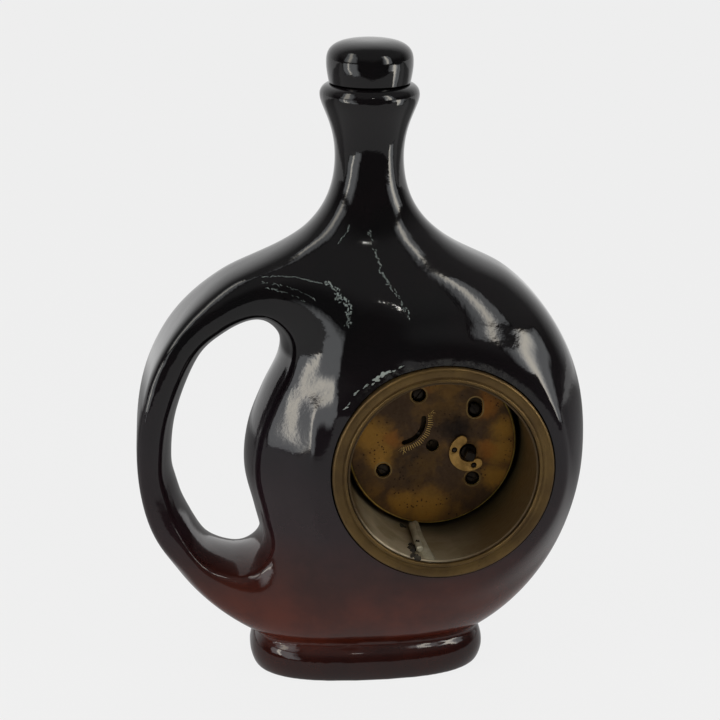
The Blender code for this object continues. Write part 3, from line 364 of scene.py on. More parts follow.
def make_patina():
    """The movement's back plate: gold brass under brown patina, orange blooms, pits and stains, dark spots
    that are partly painted shadow, and a painted highlight on its rim.
    """
    item, tree, shader = new_material("plate_patina", Metallic=0.62)
    at = place(tree)
    moved = wavy(tree, wavy(tree, at, 150.0, 0.006), 520.0, 0.0035)
    worn = span(tree, noise(tree, moved, 75.0, 6.0), 0.40, 0.70, 0.0, 0.40)
    for centre, inner, outer in (((0.0255, 0.0050), 0.003, 0.012), ((0.0220, -0.0040), 0.002, 0.010),
                                 ((0.0020, -0.0285), 0.003, 0.014), ((0.0120, -0.0260), 0.002, 0.010),
                                 ((-0.0270, -0.0150), 0.002, 0.009), ((-0.0300, 0.0060), 0.001, 0.009),
                                 ((-0.0300, -0.0030), 0.002, 0.010), ((-0.0020, 0.0320), 0.001, 0.011)):
        worn = calc(tree, "MAXIMUM", worn, spot(tree, moved, centre, inner, outer))
    tone = mix(tree, worn, (0.112, 0.064, 0.032), (0.50, 0.255, 0.045))
    tone = stained(tree, moved, tone, (0.46, 0.175, 0.030), (
        ((0.0175, 0.0030), 0.001, 0.0060, 0.8), ((-0.0215, 0.0170), 0.002, 0.0080, 0.8),
        ((-0.0235, -0.0030), 0.001, 0.0062, 0.85), ((0.0030, 0.0250), 0.001, 0.0050, 0.4)))
    # Dark spots above the keeper and low in the middle: partly dark patina, partly painted shadow.
    tone = stained(tree, moved, tone, (0.018, 0.011, 0.008), (
        ((-0.0105, 0.0075), 0.001, 0.0095, 0.92), ((-0.0178, 0.0190), 0.001, 0.0050, 0.8),
        ((0.0060, -0.0080), 0.002, 0.0160, 0.45), ((-0.0040, 0.0120), 0.001, 0.0120, 0.45)))
    pits = node(tree, "TexVoronoi", {"Vector": at, "Scale": 620.0}, feature="F1").outputs["Distance"]
    pitted = times(tree, span(tree, pits, 0.16, 0.30, 1.0, 0.0),
                   span(tree, noise(tree, at, 120.0, 3.0), 0.47, 0.60))
    tone = mix(tree, times(tree, pitted, 0.85), tone, (0.030, 0.014, 0.006))
    parts = node(tree, "SeparateXYZ", {"Vector": at})
    # Painted highlight of the plate's edge: lighter gold on the rounded rim, and a bright thin line round it.
    rim = span(tree, parts.outputs["Y"], cup_back_y - 0.0014, cup_back_y - 0.0003, 1.0, 0.0)
    tone = mix(tree, times(tree, rim, 0.7), tone, (0.34, 0.24, 0.07))
    off = calc(tree, "ABSOLUTE", calc(tree, "SUBTRACT", parts.outputs["Y"], cup_back_y - 0.00045))
    line = span(tree, off, 0.00016, 0.00034, 1.0, 0.0)
    line = times(tree, line, span(tree, noise(tree, at, 90.0, 3.0), 0.30, 0.50, 0.35, 1.0))
    tone = mix(tree, line, tone, (1.0, 0.78, 0.24))
    link(tree, tone, shader, "Base Color")
    fine = noise(tree, at, 800.0, 5.0)
    link(tree, span(tree, fine, 0.3, 0.7, 0.40, 0.62), shader, "Roughness")
    bump(tree, shader, calc(tree, "SUBTRACT", fine, pitted), 0.5, 0.00008)
    return item


def make_sleeve_metal():
    """Tinned sleeve wall: pale olive low on the handle side, with painted shade in dark brown up the other
    side, over the top and next to the plate.
    """
    item, tree, shader = new_material("tinned_sleeve", Metallic=0.35)
    at = place(tree)
    moved = wavy(tree, at, 60.0, 0.008)
    cloud = span(tree, noise(tree, moved, 55.0, 6.0), 0.35, 0.70)
    tone = mix(tree, cloud, (0.62, 0.53, 0.37), (0.34, 0.28, 0.17))
    parts = node(tree, "SeparateXYZ", {"Vector": moved})
    # Painted shade: dark brown up the side away from the handle and over the upper part of the wall.
    side = span(tree, parts.outputs["X"], clock_x - 0.026, clock_x + 0.030, 1.0, 0.0)
    lift = span(tree, parts.outputs["Z"], clock_z - 0.034, clock_z - 0.012)
    tone = mix(tree, calc(tree, "MAXIMUM", side, lift), tone, (0.085, 0.050, 0.017))
    # Painted shade next to the plate, strongest on the side away from the handle.
    plate_shade = times(tree, span(tree, parts.outputs["Y"], cup_back_y - 0.002, cup_back_y + 0.014, 0.75, 0.0),
                 span(tree, parts.outputs["X"], clock_x, clock_x + 0.016, 1.0, 0.05))
    tone = mix(tree, plate_shade, tone, (0.07, 0.055, 0.025))
    link(tree, tone, shader, "Base Color")
    brushed = node(tree, "VectorMath", {0: at, 1: (1.0, 6.0, 1.0)}, operation="MULTIPLY").outputs[0]
    fine = noise(tree, brushed, 300.0, 4.0)
    link(tree, span(tree, fine, 0.25, 0.75, 0.42, 0.60), shader, "Roughness")
    bump(tree, shader, fine, 0.4, 0.00006)
    return item


def make_enamel(name, tone, shade):
    item, tree, shader = new_material(name)
    at = place(tree)
    cloud = span(tree, noise(tree, at, 60.0, 5.0), 0.4, 0.75)
    link(tree, mix(tree, cloud, tone, shade), shader, "Base Color")
    link(tree, span(tree, noise(tree, at, 400.0, 3.0), 0.3, 0.7, 0.28, 0.42), shader, "Roughness")
    bump(tree, shader, noise(tree, at, 300.0, 3.0), 0.2, 0.00004)
    return item


def make_glass():
    item, tree, shader = new_material("clear_glass", IOR=1.45, Transmission_Weight=1.0)
    at = place(tree)
    haze = span(tree, noise(tree, at, 70.0, 5.0), 0.45, 0.8, 0.0, 1.0)
    link(tree, mix(tree, haze, (0.95, 0.97, 0.97), (0.90, 0.93, 0.92)), shader, "Base Color")
    link(tree, span(tree, noise(tree, at, 240.0, 3.0), 0.4, 0.8, 0.01, 0.06), shader, "Roughness")
    return item


glaze = make_glaze()
ring_brass = make_metal("ring_brass", (0.185, 0.115, 0.040), (0.115, 0.070, 0.027), 0.34, 0.50, 70.0, 0.75)
plain_brass = make_metal("plain_brass", (0.30, 0.20, 0.075), (0.19, 0.12, 0.045), 0.28, 0.42, 90.0, 0.9)
bright_brass = make_metal("bright_brass", (0.68, 0.40, 0.115), (0.38, 0.215, 0.057), 0.30, 0.46, 190.0, 0.70)
cut_brass = make_metal("cut_brass", (1.0, 0.66, 0.19), (0.80, 0.50, 0.13), 0.24, 0.40, 300.0, 0.45)
# Brass darkened as painted shade, for the back plate and the centre wheel that show through the plate's
# holes.
shade_dark_brass = make_metal("shade_dark_brass", (0.060, 0.040, 0.018), (0.034, 0.022, 0.011), 0.45, 0.62, 120.0, 0.7)
dark_steel = make_metal("dark_steel", (0.055, 0.043, 0.032), (0.030, 0.023, 0.018), 0.38, 0.58, 160.0, 0.8)
spring_steel = make_metal("spring_steel", (0.25, 0.25, 0.27), (0.16, 0.16, 0.18), 0.22, 0.34, 200.0, 1.0)
blued_steel = make_metal("blued_steel", (0.020, 0.032, 0.085), (0.012, 0.018, 0.045), 0.18, 0.30, 120.0, 0.9)
solder = make_metal("solder", (0.52, 0.48, 0.36), (0.36, 0.32, 0.22), 0.40, 0.58, 220.0, 0.35)
patina = make_patina()
tin = make_sleeve_metal()
enamel = make_enamel("dial_enamel", (0.78, 0.74, 0.62), (0.62, 0.56, 0.43))
ink = make_enamel("dial_ink", (0.020, 0.018, 0.018), (0.035, 0.030, 0.028))
bare_clay = make_enamel("bare_clay", (0.46, 0.51, 0.48), (0.20, 0.24, 0.22))
# Pale flakes on the shoulder: painted highlights of the light on the glaze.
painted_glint = make_enamel("painted_glint", (0.38, 0.44, 0.42), (0.12, 0.15, 0.14))
char = make_metal("charred_flux", (0.016, 0.012, 0.008), (0.055, 0.045, 0.028), 0.5, 0.8, 500.0, 0.2,
                  depth=0.0003)
glass = make_glass()


def smooth(item, sharp_deg=35.0):
    item.data.shade_smooth()
    item.data.set_sharp_from_angle(angle=math.radians(sharp_deg))


def add_mesh(name, verts, faces, material, sharp_deg=35.0):
    mesh = bpy.data.meshes.new(name)
    mesh.from_pydata([tuple(vert) for vert in verts], [], [tuple(face) for face in faces])
    bm = bmesh.new()
    bm.from_mesh(mesh)
    bmesh.ops.remove_doubles(bm, verts=bm.verts, dist=1e-7)
    bmesh.ops.recalc_face_normals(bm, faces=bm.faces)
    bm.to_mesh(mesh)
    bm.free()
    item = bpy.data.objects.new(name, mesh)
    bpy.context.scene.collection.objects.link(item)
    smooth(item, sharp_deg)
    if material:
        mesh.materials.append(material)
    return item


def dress(item, slot, *nodes, body="jug"):
    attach(item, body)
    if nodes:
        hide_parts(*nodes)
    return item


def loft(rings, closed_path=False):
    """Faces between rings of the same length; the ends are capped unless the path closes on itself."""
    count = len(rings[0])
    verts = [point for ring in rings for point in ring]
    pairs = list(zip(range(len(rings)), range(1, len(rings))))
    if closed_path:
        pairs.append((len(rings) - 1, 0))
    faces = [(a * count + i, a * count + (i + 1) % count, b * count + (i + 1) % count, b * count + i)
             for a, b in pairs for i in range(count)]
    if not closed_path:
        faces += [tuple(range(count)), tuple(range((len(rings) - 1) * count, len(rings) * count))]
    return verts, faces


def circle(steps, shift=0.0):
    """The cosine and the sine of each of so many equal turns."""
    for i in range(steps):
        angle = math.tau * (i + shift) / steps
        yield math.cos(angle), math.sin(angle)


def turned(name, profile, material, centre=None, steps=turned_steps, upright=False, sharp_deg=35.0):
    """Turn a closed profile of (radius, height): along Y through the centre, or along Z if upright."""
    centre = centre or (clock_x, clock_z)
    rings = []
    for radius, along in profile:
        ring = []
        for c, s in circle(steps):
            if upright:
                ring.append((centre[0] + radius * c, centre[1] + radius * s, along))
            else:
                ring.append((centre[0] + radius * c, along, centre[1] + radius * s))
        rings.append(ring)
    verts, faces = loft(rings, closed_path=True)
    item = add_mesh(name, verts, faces, material, sharp_deg)
    clean(item)
    return item


def clean(item):
    """Takes away faces and edges that folded flat on the axis."""
    bm = bmesh.new()
    bm.from_mesh(item.data)
    bmesh.ops.dissolve_degenerate(bm, dist=1e-7, edges=bm.edges)
    thin = [face for face in bm.faces if face.calc_area() < 1e-14]
    bmesh.ops.delete(bm, geom=thin, context="FACES_ONLY")
    bmesh.ops.delete(bm, geom=[edge for edge in bm.edges if not edge.link_faces], context="EDGES")
    bmesh.ops.delete(bm, geom=[vert for vert in bm.verts if not vert.link_edges], context="VERTS")
    bmesh.ops.recalc_face_normals(bm, faces=bm.faces)
    bm.to_mesh(item.data)
    bm.free()


def slab(name, outline, y_low, y_high, material, centre=None):
    centre = centre or (clock_x, clock_z)
    rings = [[(centre[0] + x, y, centre[1] + z) for x, z in outline] for y in (y_low, y_high)]
    verts, faces = loft(rings)
    return add_mesh(name, verts, faces, material)


def rotated(points, angle_deg):
    c, s = math.cos(math.radians(angle_deg)), math.sin(math.radians(angle_deg))
    return [(x * c - z * s, x * s + z * c) for x, z in points]


def polar(radius, angle_deg, centre=(0.0, 0.0)):
    angle = math.radians(angle_deg)
    return (centre[0] + radius * math.cos(angle), centre[1] + radius * math.sin(angle))


def at_clock(offset):
    return (clock_x + offset[0], clock_z + offset[1])


def disc_outline(radius, steps=48, stretch=0.0):
    """A circle, its two halves moved apart by the stretch."""
    return [(radius * c, radius * s + math.copysign(stretch, s)) for c, s in circle(steps, 0.5)]


def sector_outline(inner, outer, start_deg, end_deg):
    """A curved slot or strip with round ends."""
    steps, ends = 48, 12
    middle, end_radius = (inner + outer) / 2, (outer - inner) / 2
    points = [polar(outer, start_deg + (end_deg - start_deg) * i / steps) for i in range(steps + 1)]
    points += [polar(end_radius, end_deg + 180.0 * i / ends, polar(middle, end_deg)) for i in range(1, ends)]
    points += [polar(inner, end_deg + (start_deg - end_deg) * i / steps) for i in range(steps + 1)]
    points += [polar(end_radius, start_deg + 180.0 + 180.0 * i / ends, polar(middle, start_deg))
               for i in range(1, ends)]
    return points


def apply_cuts(item, cutters, operation="DIFFERENCE", after=()):
    """Cuts, then any further modifiers as (kind, settings), made final in the mesh."""
    for cutter in cutters:
        modifier = item.modifiers.new("cut", "BOOLEAN")
        modifier.operation = operation
        modifier.solver = "EXACT"
        modifier.object = cutter
    for kind, settings in after:
        modifier = item.modifiers.new(kind.lower(), kind)
        for key, value in settings.items():
            setattr(modifier, key, value)
    graph = bpy.context.evaluated_depsgraph_get()
    graph.update()
    mesh = bpy.data.meshes.new_from_object(item.evaluated_get(graph))
    item.modifiers.clear()
    item.data = mesh
    for cutter in cutters:
        bpy.data.objects.remove(cutter, do_unlink=True)
    return item


def power_curve(share, power):
    return max(0.0, 1.0 - abs(share) ** power) ** (1.0 / power)


def body_share(z):
    return (z - body_centre_height) / (body_rise if z > body_centre_height else body_drop)


def oval_at(z, half, rise_power, drop_power):
    return half * power_curve(body_share(z), rise_power if z > body_centre_height else drop_power)


def bezier(p0, p1, p2, p3, steps):
    points = []
    for i in range(steps + 1):
        t = i / steps
        s = 1.0 - t
        points.append(tuple(s ** 3 * a + 3 * s * s * t * b + 3 * s * t * t * c + t ** 3 * d
                            for a, b, c, d in zip(p0, p1, p2, p3)))
    return points


def shoulder_curve(half, rise_power):
    start = oval_at(shoulder_height, half, rise_power, rise_power)
    step = (neck_height - shoulder_height) / 1000
    slope = (oval_at(shoulder_height + step, half, rise_power, rise_power) - start) / step
    length = math.hypot(slope, 1.0)
    lower = (start + slope / length * shoulder_lower_reach, shoulder_height + shoulder_lower_reach / length)
    upper = (neck_radius, neck_height - shoulder_upper_reach)
    return bezier((start, shoulder_height), lower, upper, (neck_radius, neck_height), 80)


width_shoulder = shoulder_curve(body_half_width, outline_power)
depth_shoulder = shoulder_curve(body_half_depth, depth_rise_power)
neck_curve = bezier((neck_radius, neck_height), (neck_radius, neck_height + neck_upper_reach),
                    (lip_radius, lip_height - lip_lower_reach), (lip_radius, lip_height), 48)


def read_curve(curve, z):
    return float(np.interp(z, [point[1] for point in curve], [point[0] for point in curve]))


def section(z):
    """Left and right limits, the thickest x, the half depth and the two powers at a height."""
    if z >= neck_height:
        half_width = half_depth = read_curve(neck_curve, z)
    elif z >= shoulder_height:
        half_width, half_depth = read_curve(width_shoulder, z), read_curve(depth_shoulder, z)
    else:
        half_width = oval_at(z, body_half_width, outline_power, outline_drop_power)
        half_depth = oval_at(z, body_half_depth, depth_rise_power, depth_drop_power)
    share = min(1.0, abs(body_share(z)))
    middle = (neck_x if z > body_centre_height else lower_body_x) * share ** 3
    weight = 1.0 - share * share
    thick = neck_x + (body_thick_x - neck_x) * weight
    spread = math.sqrt(weight)
    fade = min(1.0, max(0.0, (neck_height - z) / shoulder_length))
    rising = smooth_step((z - body_centre_height) / body_rise * 2)
    left_power = 2.0 + 0.8 * spread + left_square_extra * fade * rising
    below = smooth_step((shoulder_height + handle_square_fade / 5 - z) / handle_square_fade)
    below *= smooth_step((z - hole_bottom) / handle_square_fade)
    right_power = (2.0 + 0.4 * spread + right_square_extra * fade
                   + handle_square_extra * below * spread)
    return middle - half_width, middle + half_width, thick, half_depth, left_power, right_power


def hole_spline(steps):
    points = [(hole_inner_x + hole_width * u, hole_bottom + hole_height * v)
              for u, v in hole_outline_shares]
    count = len(points)
    result = []
    for i in range(count):
        p0, p1, p2, p3 = (np.array(points[(i + k) % count]) for k in (-1, 0, 1, 2))
        for j in range(steps):
            t = j / steps
            result.append(0.5 * (2 * p1 + (p2 - p0) * t + (2 * p0 - 5 * p1 + 4 * p2 - p3) * t * t
                                 + (3 * p1 - p0 - 3 * p2 + p3) * t ** 3))
    return np.array(result)


hole_outline = hole_spline(4)


def hole_distance(x, z):
    point = np.array((x, z))
    start = hole_outline
    run = np.roll(hole_outline, -1, axis=0) - start
    along = np.clip(((point - start) * run).sum(axis=1) / (run ** 2).sum(axis=1), 0.0, 1.0)
    nearest = np.linalg.norm(point - start - run * along[:, None], axis=1).min()
    ends = start + run
    crosses = (start[:, 1] > z) != (ends[:, 1] > z)
    at = start[:, 0] + (z - start[:, 1]) / np.where(crosses, run[:, 1], 1.0) * run[:, 0]
    inside = int(np.count_nonzero(crosses & (x < at))) % 2 == 1
    return 0.0 if inside else float(nearest)


def smooth_step(share):
    share = min(1.0, max(0.0, share))
    return share * share * (3.0 - 2.0 * share)


def local_depth(x, z, depth):
    share = smooth_step((z - hole_bottom) / hole_foot_reach)
    edge_depth = (hole_foot_share + (hole_edge_share - hole_foot_share) * share) * section(z)[3]
    if depth > edge_depth:
        share = min(1.0, hole_distance(x, z) / hole_blend)
        depth = edge_depth + (depth - edge_depth) * (1.0 - (1.0 - share) ** 2)
    reach = math.hypot(x - clock_x, z - clock_z) - clock_radius - land_width
    weight = (1.0 - min(1.0, max(0.0, reach / land_blend))) ** 2
    return depth + (land_y - depth) * weight


def surface_depth(x, z):
    left, right, thick, half_depth, left_power, right_power = section(z)
    share, power = (x - thick) / (right - thick), right_power
    if x < thick:
        share, power = (thick - x) / (thick - left), left_power
    return local_depth(x, z, half_depth * power_curve(share, power))


def section_ring(z):
    left, right, thick, half_depth, left_power, right_power = section(z)
    ring = []
    for c, s in circle(ring_points):
        power, reach = (right_power, right - thick) if c >= 0.0 else (left_power, thick - left)
        x = thick + math.copysign(reach * abs(c) ** (2.0 / power), c)
        depth = half_depth * abs(s) ** (2.0 / power)
        if z < neck_height:
            depth += (local_depth(x, z, depth) - depth) * smooth_step(depth / (0.3 * half_depth))
        ring.append((x, math.copysign(depth, s), z))
    return ring


def oval_ring(z, half_length, half_depth, centre_x, power):
    ring = []
    for c, s in circle(ring_points):
        ring.append((centre_x + math.copysign(half_length * abs(c) ** (2.0 / power), c),
                     math.copysign(half_depth * abs(s) ** (2.0 / power), s), z))
    return ring


def foot_ring(z, inset=0.0):
    bulge = foot_bulge * math.sin(math.pi * z / foot_height) - inset
    return oval_ring(z, foot_half_length + bulge, foot_half_depth + bulge, foot_x, foot_power)


def outer_rings():
    rings = [foot_ring(foot_recess, foot_rim + foot_recess), foot_ring(0.0, foot_rim)]
    rings += [foot_ring(foot_height * i / 14) for i in range(15)]
    start = math.asin((body_centre_height - foot_height - foot_crease) / body_drop)
    rings += [section_ring(body_centre_height - body_drop * math.sin(start * (1.0 - i / body_rows)))
              for i in range(body_rows + 1)]
    end = math.asin((shoulder_height - body_centre_height) / body_rise)
    rings += [section_ring(body_centre_height + body_rise * math.sin(end * i / body_rows))
              for i in range(1, body_rows + 1)]
    for low, high in ((shoulder_height, neck_height), (neck_height, lip_height)):
        rings += [section_ring(low + (high - low) * i / neck_rows) for i in range(1, neck_rows + 1)]
    seat_radius = dome_radius - 2 * dome_base_drop
    for i in range(1, 13):
        angle = math.pi / 2 * i / 12
        radius = seat_radius + (lip_radius - seat_radius) * math.cos(angle)
        rings.append(oval_ring(lip_height + lip_thickness * math.sin(angle), radius, radius, neck_x, 2.0))
    return rings


def hollow_side(z):
    heights = [total_height * share for share, _ in hollow_side_shares]
    side = float(np.interp(z, heights, [body_half_width * share for _, share in hollow_side_shares]))
    while hole_distance(side, z) < pottery_wall:
        side -= pottery_wall / 4
    return side


def inner_rings():
    rings = [oval_ring(z, bore_radius, bore_radius, neck_x, 2.0) for z in (lip_top, lip_top - bore_depth)]
    top, floor = total_height * hollow_side_shares[-1][0], foot_recess + base_thickness
    for i in range(16):
        z = top + (floor - top) * i / 15
        left, _, _, half_depth, _, _ = section(max(z, foot_height))
        left += pottery_wall
        if z < foot_height:
            left, half_depth = foot_x - foot_half_length + pottery_wall, foot_half_depth - foot_bulge
        right = hollow_side(z)
        rings.append(oval_ring(z, (right - left) / 2, half_depth - pottery_wall, (left + right) / 2,
                               hollow_power))
    return rings


def hole_cutter():
    outline = hole_spline(10)
    tangent = np.roll(outline, -1, axis=0) - np.roll(outline, 1, axis=0)
    tangent /= np.linalg.norm(tangent, axis=1)[:, None]
    outward = np.stack((tangent[:, 1], -tangent[:, 0]), axis=1)

    def ring(side, share, angle_deg=None):
        points = []
        for point, normal in zip(outline, outward):
            if angle_deg is None:
                spot_at = point - normal * hole_wall_crown * (1.0 - share * share)
                y = side * share * (surface_depth(*point) - hole_fillet)
            else:
                turn = math.radians(angle_deg)
                spot_at = point + normal * hole_fillet * (1.0 - math.cos(turn))
                y = side * (surface_depth(*spot_at) - hole_fillet * (1.0 - math.sin(turn)))
            points.append((spot_at[0], y, spot_at[1]))
        return points

    def far(side):
        return [(x, side * (body_half_depth + cut_overrun), z) for x, z in outline + outward * hole_fillet]

    rings = [far(-1)] + [ring(-1, 1.0, angle) for angle in (72, 54, 36, 18)]
    rings += [ring(math.copysign(1, step), abs(step)) for step in np.linspace(-1.0, 1.0, 11)]
    rings += [ring(1, 1.0, angle) for angle in (18, 36, 54, 72)] + [far(1)]
    verts, faces = loft(rings)
    return add_mesh("handle_hole_cutter", verts, faces, None)


def make_body():
    verts, faces = loft(outer_rings() + inner_rings())
    body = add_mesh("glazed_body", verts, faces, glaze, 180.0)
    rough_tunnel = slab("rough_opening_cutter", disc_outline(clock_radius - 0.006, 96),
                        -body_half_depth - cut_overrun, body_half_depth + cut_overrun, None)
    apply_cuts(body, [hole_cutter(), rough_tunnel], after=[
        ("REMESH", {"mode": "VOXEL", "voxel_size": voxel, "use_smooth_shade": True}),
        ("SMOOTH", {"factor": 0.5, "iterations": 22}),
    ])
    tunnel = slab("clock_opening_cutter", disc_outline(clock_radius, 160), -body_half_depth - cut_overrun,
                  body_half_depth + cut_overrun, None)
    apply_cuts(body, [tunnel])
    smooth(body, 50.0)
    low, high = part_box("jug_body")
    for vert in body.data.vertices:
        for k in range(3):
            vert.co[k] = min(max(vert.co[k], low[k]), high[k])
    if not body.data.materials:
        body.data.materials.append(glaze)
    return dress(body, "dark_glaze", "jug_body")


def make_stopper():
    """A dome whose side draws in to its base, with a shank in the neck's bore."""
    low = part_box("stopper")[0]
    base = dome_waist_height - dome_side_height
    profile = []
    for i in range(40):
        turn = math.pi / 2 * i / 39
        radius = math.sin(turn) ** (2.0 / dome_power)
        rise = math.cos(turn) ** (2.0 / dome_power)
        profile.append((dome_radius * radius, dome_waist_height + dome_cap_height * rise))
    for i in range(1, 13):
        share = i / 12
        profile.append((dome_radius - dome_base_drop * share ** 1.5,
                        dome_waist_height + (base - dome_waist_height) * share))
    edge = profile[-1][0]
    profile += [(edge - 0.0004, base), (edge - 0.0012, base)]
    shank = bore_radius - slip_gap
    profile += [(shank + 0.0008, base), (shank, base - 0.0008), (shank, low[2] + 0.0012),
                (shank - 0.0004, low[2] + 0.0003), (shank - 0.0012, low[2]), (0.0, low[2])]
    item = turned("domed_stopper", profile, glaze, (neck_x, 0.0), upright=True, sharp_deg=60.0)
    dress(item, "dark_glaze", "stopper", body="stopper")


def arc(centre, radius, start_deg, end_deg, steps):
    return [polar(radius, start_deg + (end_deg - start_deg) * i / steps, centre) for i in range(steps + 1)]


def make_case():
    """The rear ring with its rolled bead and its groove, and the tinned sleeve."""
    inner, outer = ring_outer_radius - ring_width, ring_outer_radius
    face, back, bead = rear_face_y, ring_low[1], ring_bead
    groove = inner + 2 * bead + 0.0001
    profile = [(inner, back), (inner, face - bead)]
    profile += arc((inner + bead, face - bead), bead, 180.0, 0.0, 10)
    profile += [(groove, face - 0.0008), (groove + 0.0003, face - 0.00075)]
    profile += [(groove + 0.0007, face - 0.00035), (groove + 0.0016, face - 0.00012), (outer - 0.0018, face)]
    profile += arc((outer - ring_edge, face - ring_edge), ring_edge, 90.0, 0.0, 8)
    profile += [(outer, back)]
    dress(turned("rolled_rear_ring", profile, ring_brass, sharp_deg=50.0), "aged_brass", "rear_ring")

    low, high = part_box("case_sleeve")
    outside = (high[0] - low[0]) / 2
    inside = outside - sheet
    profile = [(inside, low[1]), (inside, high[1] - 0.0003), (inside + 0.0004, high[1]), (outside, high[1]),
               (outside, low[1])]
    dress(turned("tinned_sleeve", profile, tin), "dull_tin", "case_sleeve")


def make_cup():
    """The drum with its rounded corner, cut for the four screws, the arbor and the regulator."""
    low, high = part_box("movement_cup")
    flange = (high[0] - low[0]) / 2
    outside, hole = flange - flange_width, centre_hole_radius
    inside, inner_back, back = outside - sheet, cup_back_y - sheet, cup_back_y
    profile = [(hole, back)]
    profile += [(outside - cup_corner * (1 - math.sin(turn)), back - cup_corner * (1 - math.cos(turn)))
                for turn in np.linspace(0.0, math.pi / 2, 11)]
    profile += [(outside, low[1] + sheet), (flange, low[1] + sheet), (flange, low[1]), (inside, low[1])]
    round_in = cup_corner - sheet
    profile += [(inside - round_in * (1 - math.cos(turn)), inner_back - round_in * (1 - math.sin(turn)))
                for turn in np.linspace(0.0, math.pi / 2, 7)]
    profile += [(hole, inner_back)]
    cup = turned("patinated_cup", profile, patina)
    cuts = [("screw_hole_cutter", disc_outline(screw_hole_radius, 48, stretch), (x, z + stretch))
            for (x, z), stretch in zip(screw_offsets, screw_stretches)]
    cuts += [("arbor_hole_cutter", disc_outline(arbor_hole_radius), barrel_offset),
             ("slot_cutter", sector_outline(*slot_radii, *slot_degs), balance_offset)]
    apply_cuts(cup, [slab(name, outline, inner_back - cut_overrun, back + cut_overrun, None, at_clock(offset))
                     for name, outline, offset in cuts])
    smooth(cup)
    dress(cup, "aged_brass", "movement_cup")


screw_x, screw_z = middle_of("plate_screw_1")
plate_circle_radius = math.hypot(screw_x - clock_x, screw_z - clock_z)
screw_offsets = [polar(plate_circle_radius, angle) for angle in pillar_angles_deg]
bar_faces = ((0, 1, 3, 2), (4, 6, 7, 5), (0, 4, 5, 1), (1, 5, 7, 3), (3, 7, 6, 2), (2, 6, 4, 0))


def stroke(verts, faces, angle_deg, ends, y_low, y_high, centre=(0.0, 0.0)):
    """A thin bar on the clock's face; each end is (radius, degrees aside, half width)."""
    base, corners = len(verts), []
    for radius, aside, half in ends:
        x, z = polar(radius, angle_deg + aside, centre)
        nx, nz = polar(half, angle_deg + 90.0)
        corners += [(x + nx, z + nz), (x - nx, z - nz)]
    verts += [(clock_x + x, y, clock_z + z) for y in (y_low, y_high) for x, z in corners]
    faces += [tuple(base + k for k in face) for face in bar_faces]


def make_plate_details():
    """Burnished countersinks round the screw holes, and the regulator's cut ticks."""
    back = cup_back_y
    for i, (offset, stretch) in enumerate(zip(screw_offsets, screw_stretches), start=1):
        rings = []
        for radius, lift in ((0.00312, -0.0006), (0.00312, -0.00005), (0.0034, 0.00004), (0.0038, 0.00003),
                             (0.0039, -0.0001)):
            rings.append([(clock_x + offset[0] + x, back + lift, clock_z + offset[1] + stretch + z)
                          for x, z in disc_outline(radius, 48, stretch)])
        verts, faces = loft(rings, closed_path=True)
        dress(add_mesh(f"countersink_{i}", verts, faces, plain_brass), "aged_brass")

    verts, faces = [], []
    strokes = [(172.0 + 4.3 * i, 0.0118, 0.0138 + 0.0003 * math.sin(5.0 * i), 0.0, 0.00014)
               for i in range(22)]
    for end in (168.0, 265.0):
        strokes += [(end + 3.0 * math.sin(7.0 * i), 0.0118 + 0.0003 * i, 0.0128 + 0.0003 * i,
                     5.0 * math.cos(3.0 * i), 0.00007) for i in range(9)]
    for angle, start, stop, slant, half in strokes:
        stroke(verts, faces, angle, ((start, 0.0, half), (stop, slant, 0.6 * half)), back - 0.0001,
               back + 0.00006, balance_offset)
    dress(add_mesh("regulator_ticks", verts, faces, cut_brass), "aged_brass")


def make_keeper():
    """The C-shaped plate round the arbor, and its two rivets."""
    low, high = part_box("key_keeper")
    keeper = slab("cut_key_keeper", sector_outline(*keeper_radii, *keeper_degs), low[1], high[1],
                  bright_brass, at_clock(barrel_offset))
    cutters = []
    for i in (1, 2):
        a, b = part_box(f"keeper_rivet_{i}")
        centre = middle_of(f"keeper_rivet_{i}")
        cutters.append(slab("rivet_hole_cutter", disc_outline(rivet_hole_radius, 32), low[1] - cut_overrun,
                            high[1] + cut_overrun, None, centre))
        radius = (b[0] - a[0]) / 2
        profile = [(0.0, a[1]), (radius, a[1]), (radius, b[1] - 0.0003), (radius - 0.00015, b[1] - 0.0001),
                   (radius * 0.4, b[1]), (0.0, b[1])]
        dress(turned(f"rivet_head_{i}", profile, dark_steel, centre, 32), "dark_steel", f"keeper_rivet_{i}")
    bevel = {"width": keeper_bevel, "segments": 2, "limit_method": "ANGLE"}
    apply_cuts(keeper, cutters, after=[("BEVEL", bevel)])
    dress(keeper, "aged_brass", "key_keeper")


def make_screws():
    for i, angle in enumerate(pillar_angles_deg, start=1):
        low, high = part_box(f"plate_screw_{i}")
        centre = middle_of(f"plate_screw_{i}")
        head, crown = high[1] - screw_head_height, high[1]
        profile = [(0.0, low[1]), (screw_radius, low[1]), (screw_radius, head), (screw_head_radius, head),
                   (screw_head_radius, crown - 0.0006)]
        profile += [(screw_head_radius - 0.0007 * share, crown - 0.0006 * (1 - share ** 0.5))
                    for share in (0.25, 0.5, 0.75, 1.0)]
        profile += [(0.0, crown)]
        screw = turned(f"slotted_screw_{i}", profile, dark_steel, centre, 48)
        long, half = screw_slot_half_length, screw_slot_half_width
        corners = rotated(((long, -half), (long, half), (-long, half), (-long, -half)), 1.7 * angle)
        apply_cuts(screw, [slab("screw_slot_cutter", corners, crown - screw_slot_depth, crown + cut_overrun,
                                None, centre)])
        smooth(screw)
        dress(screw, "dark_steel", f"plate_screw_{i}")


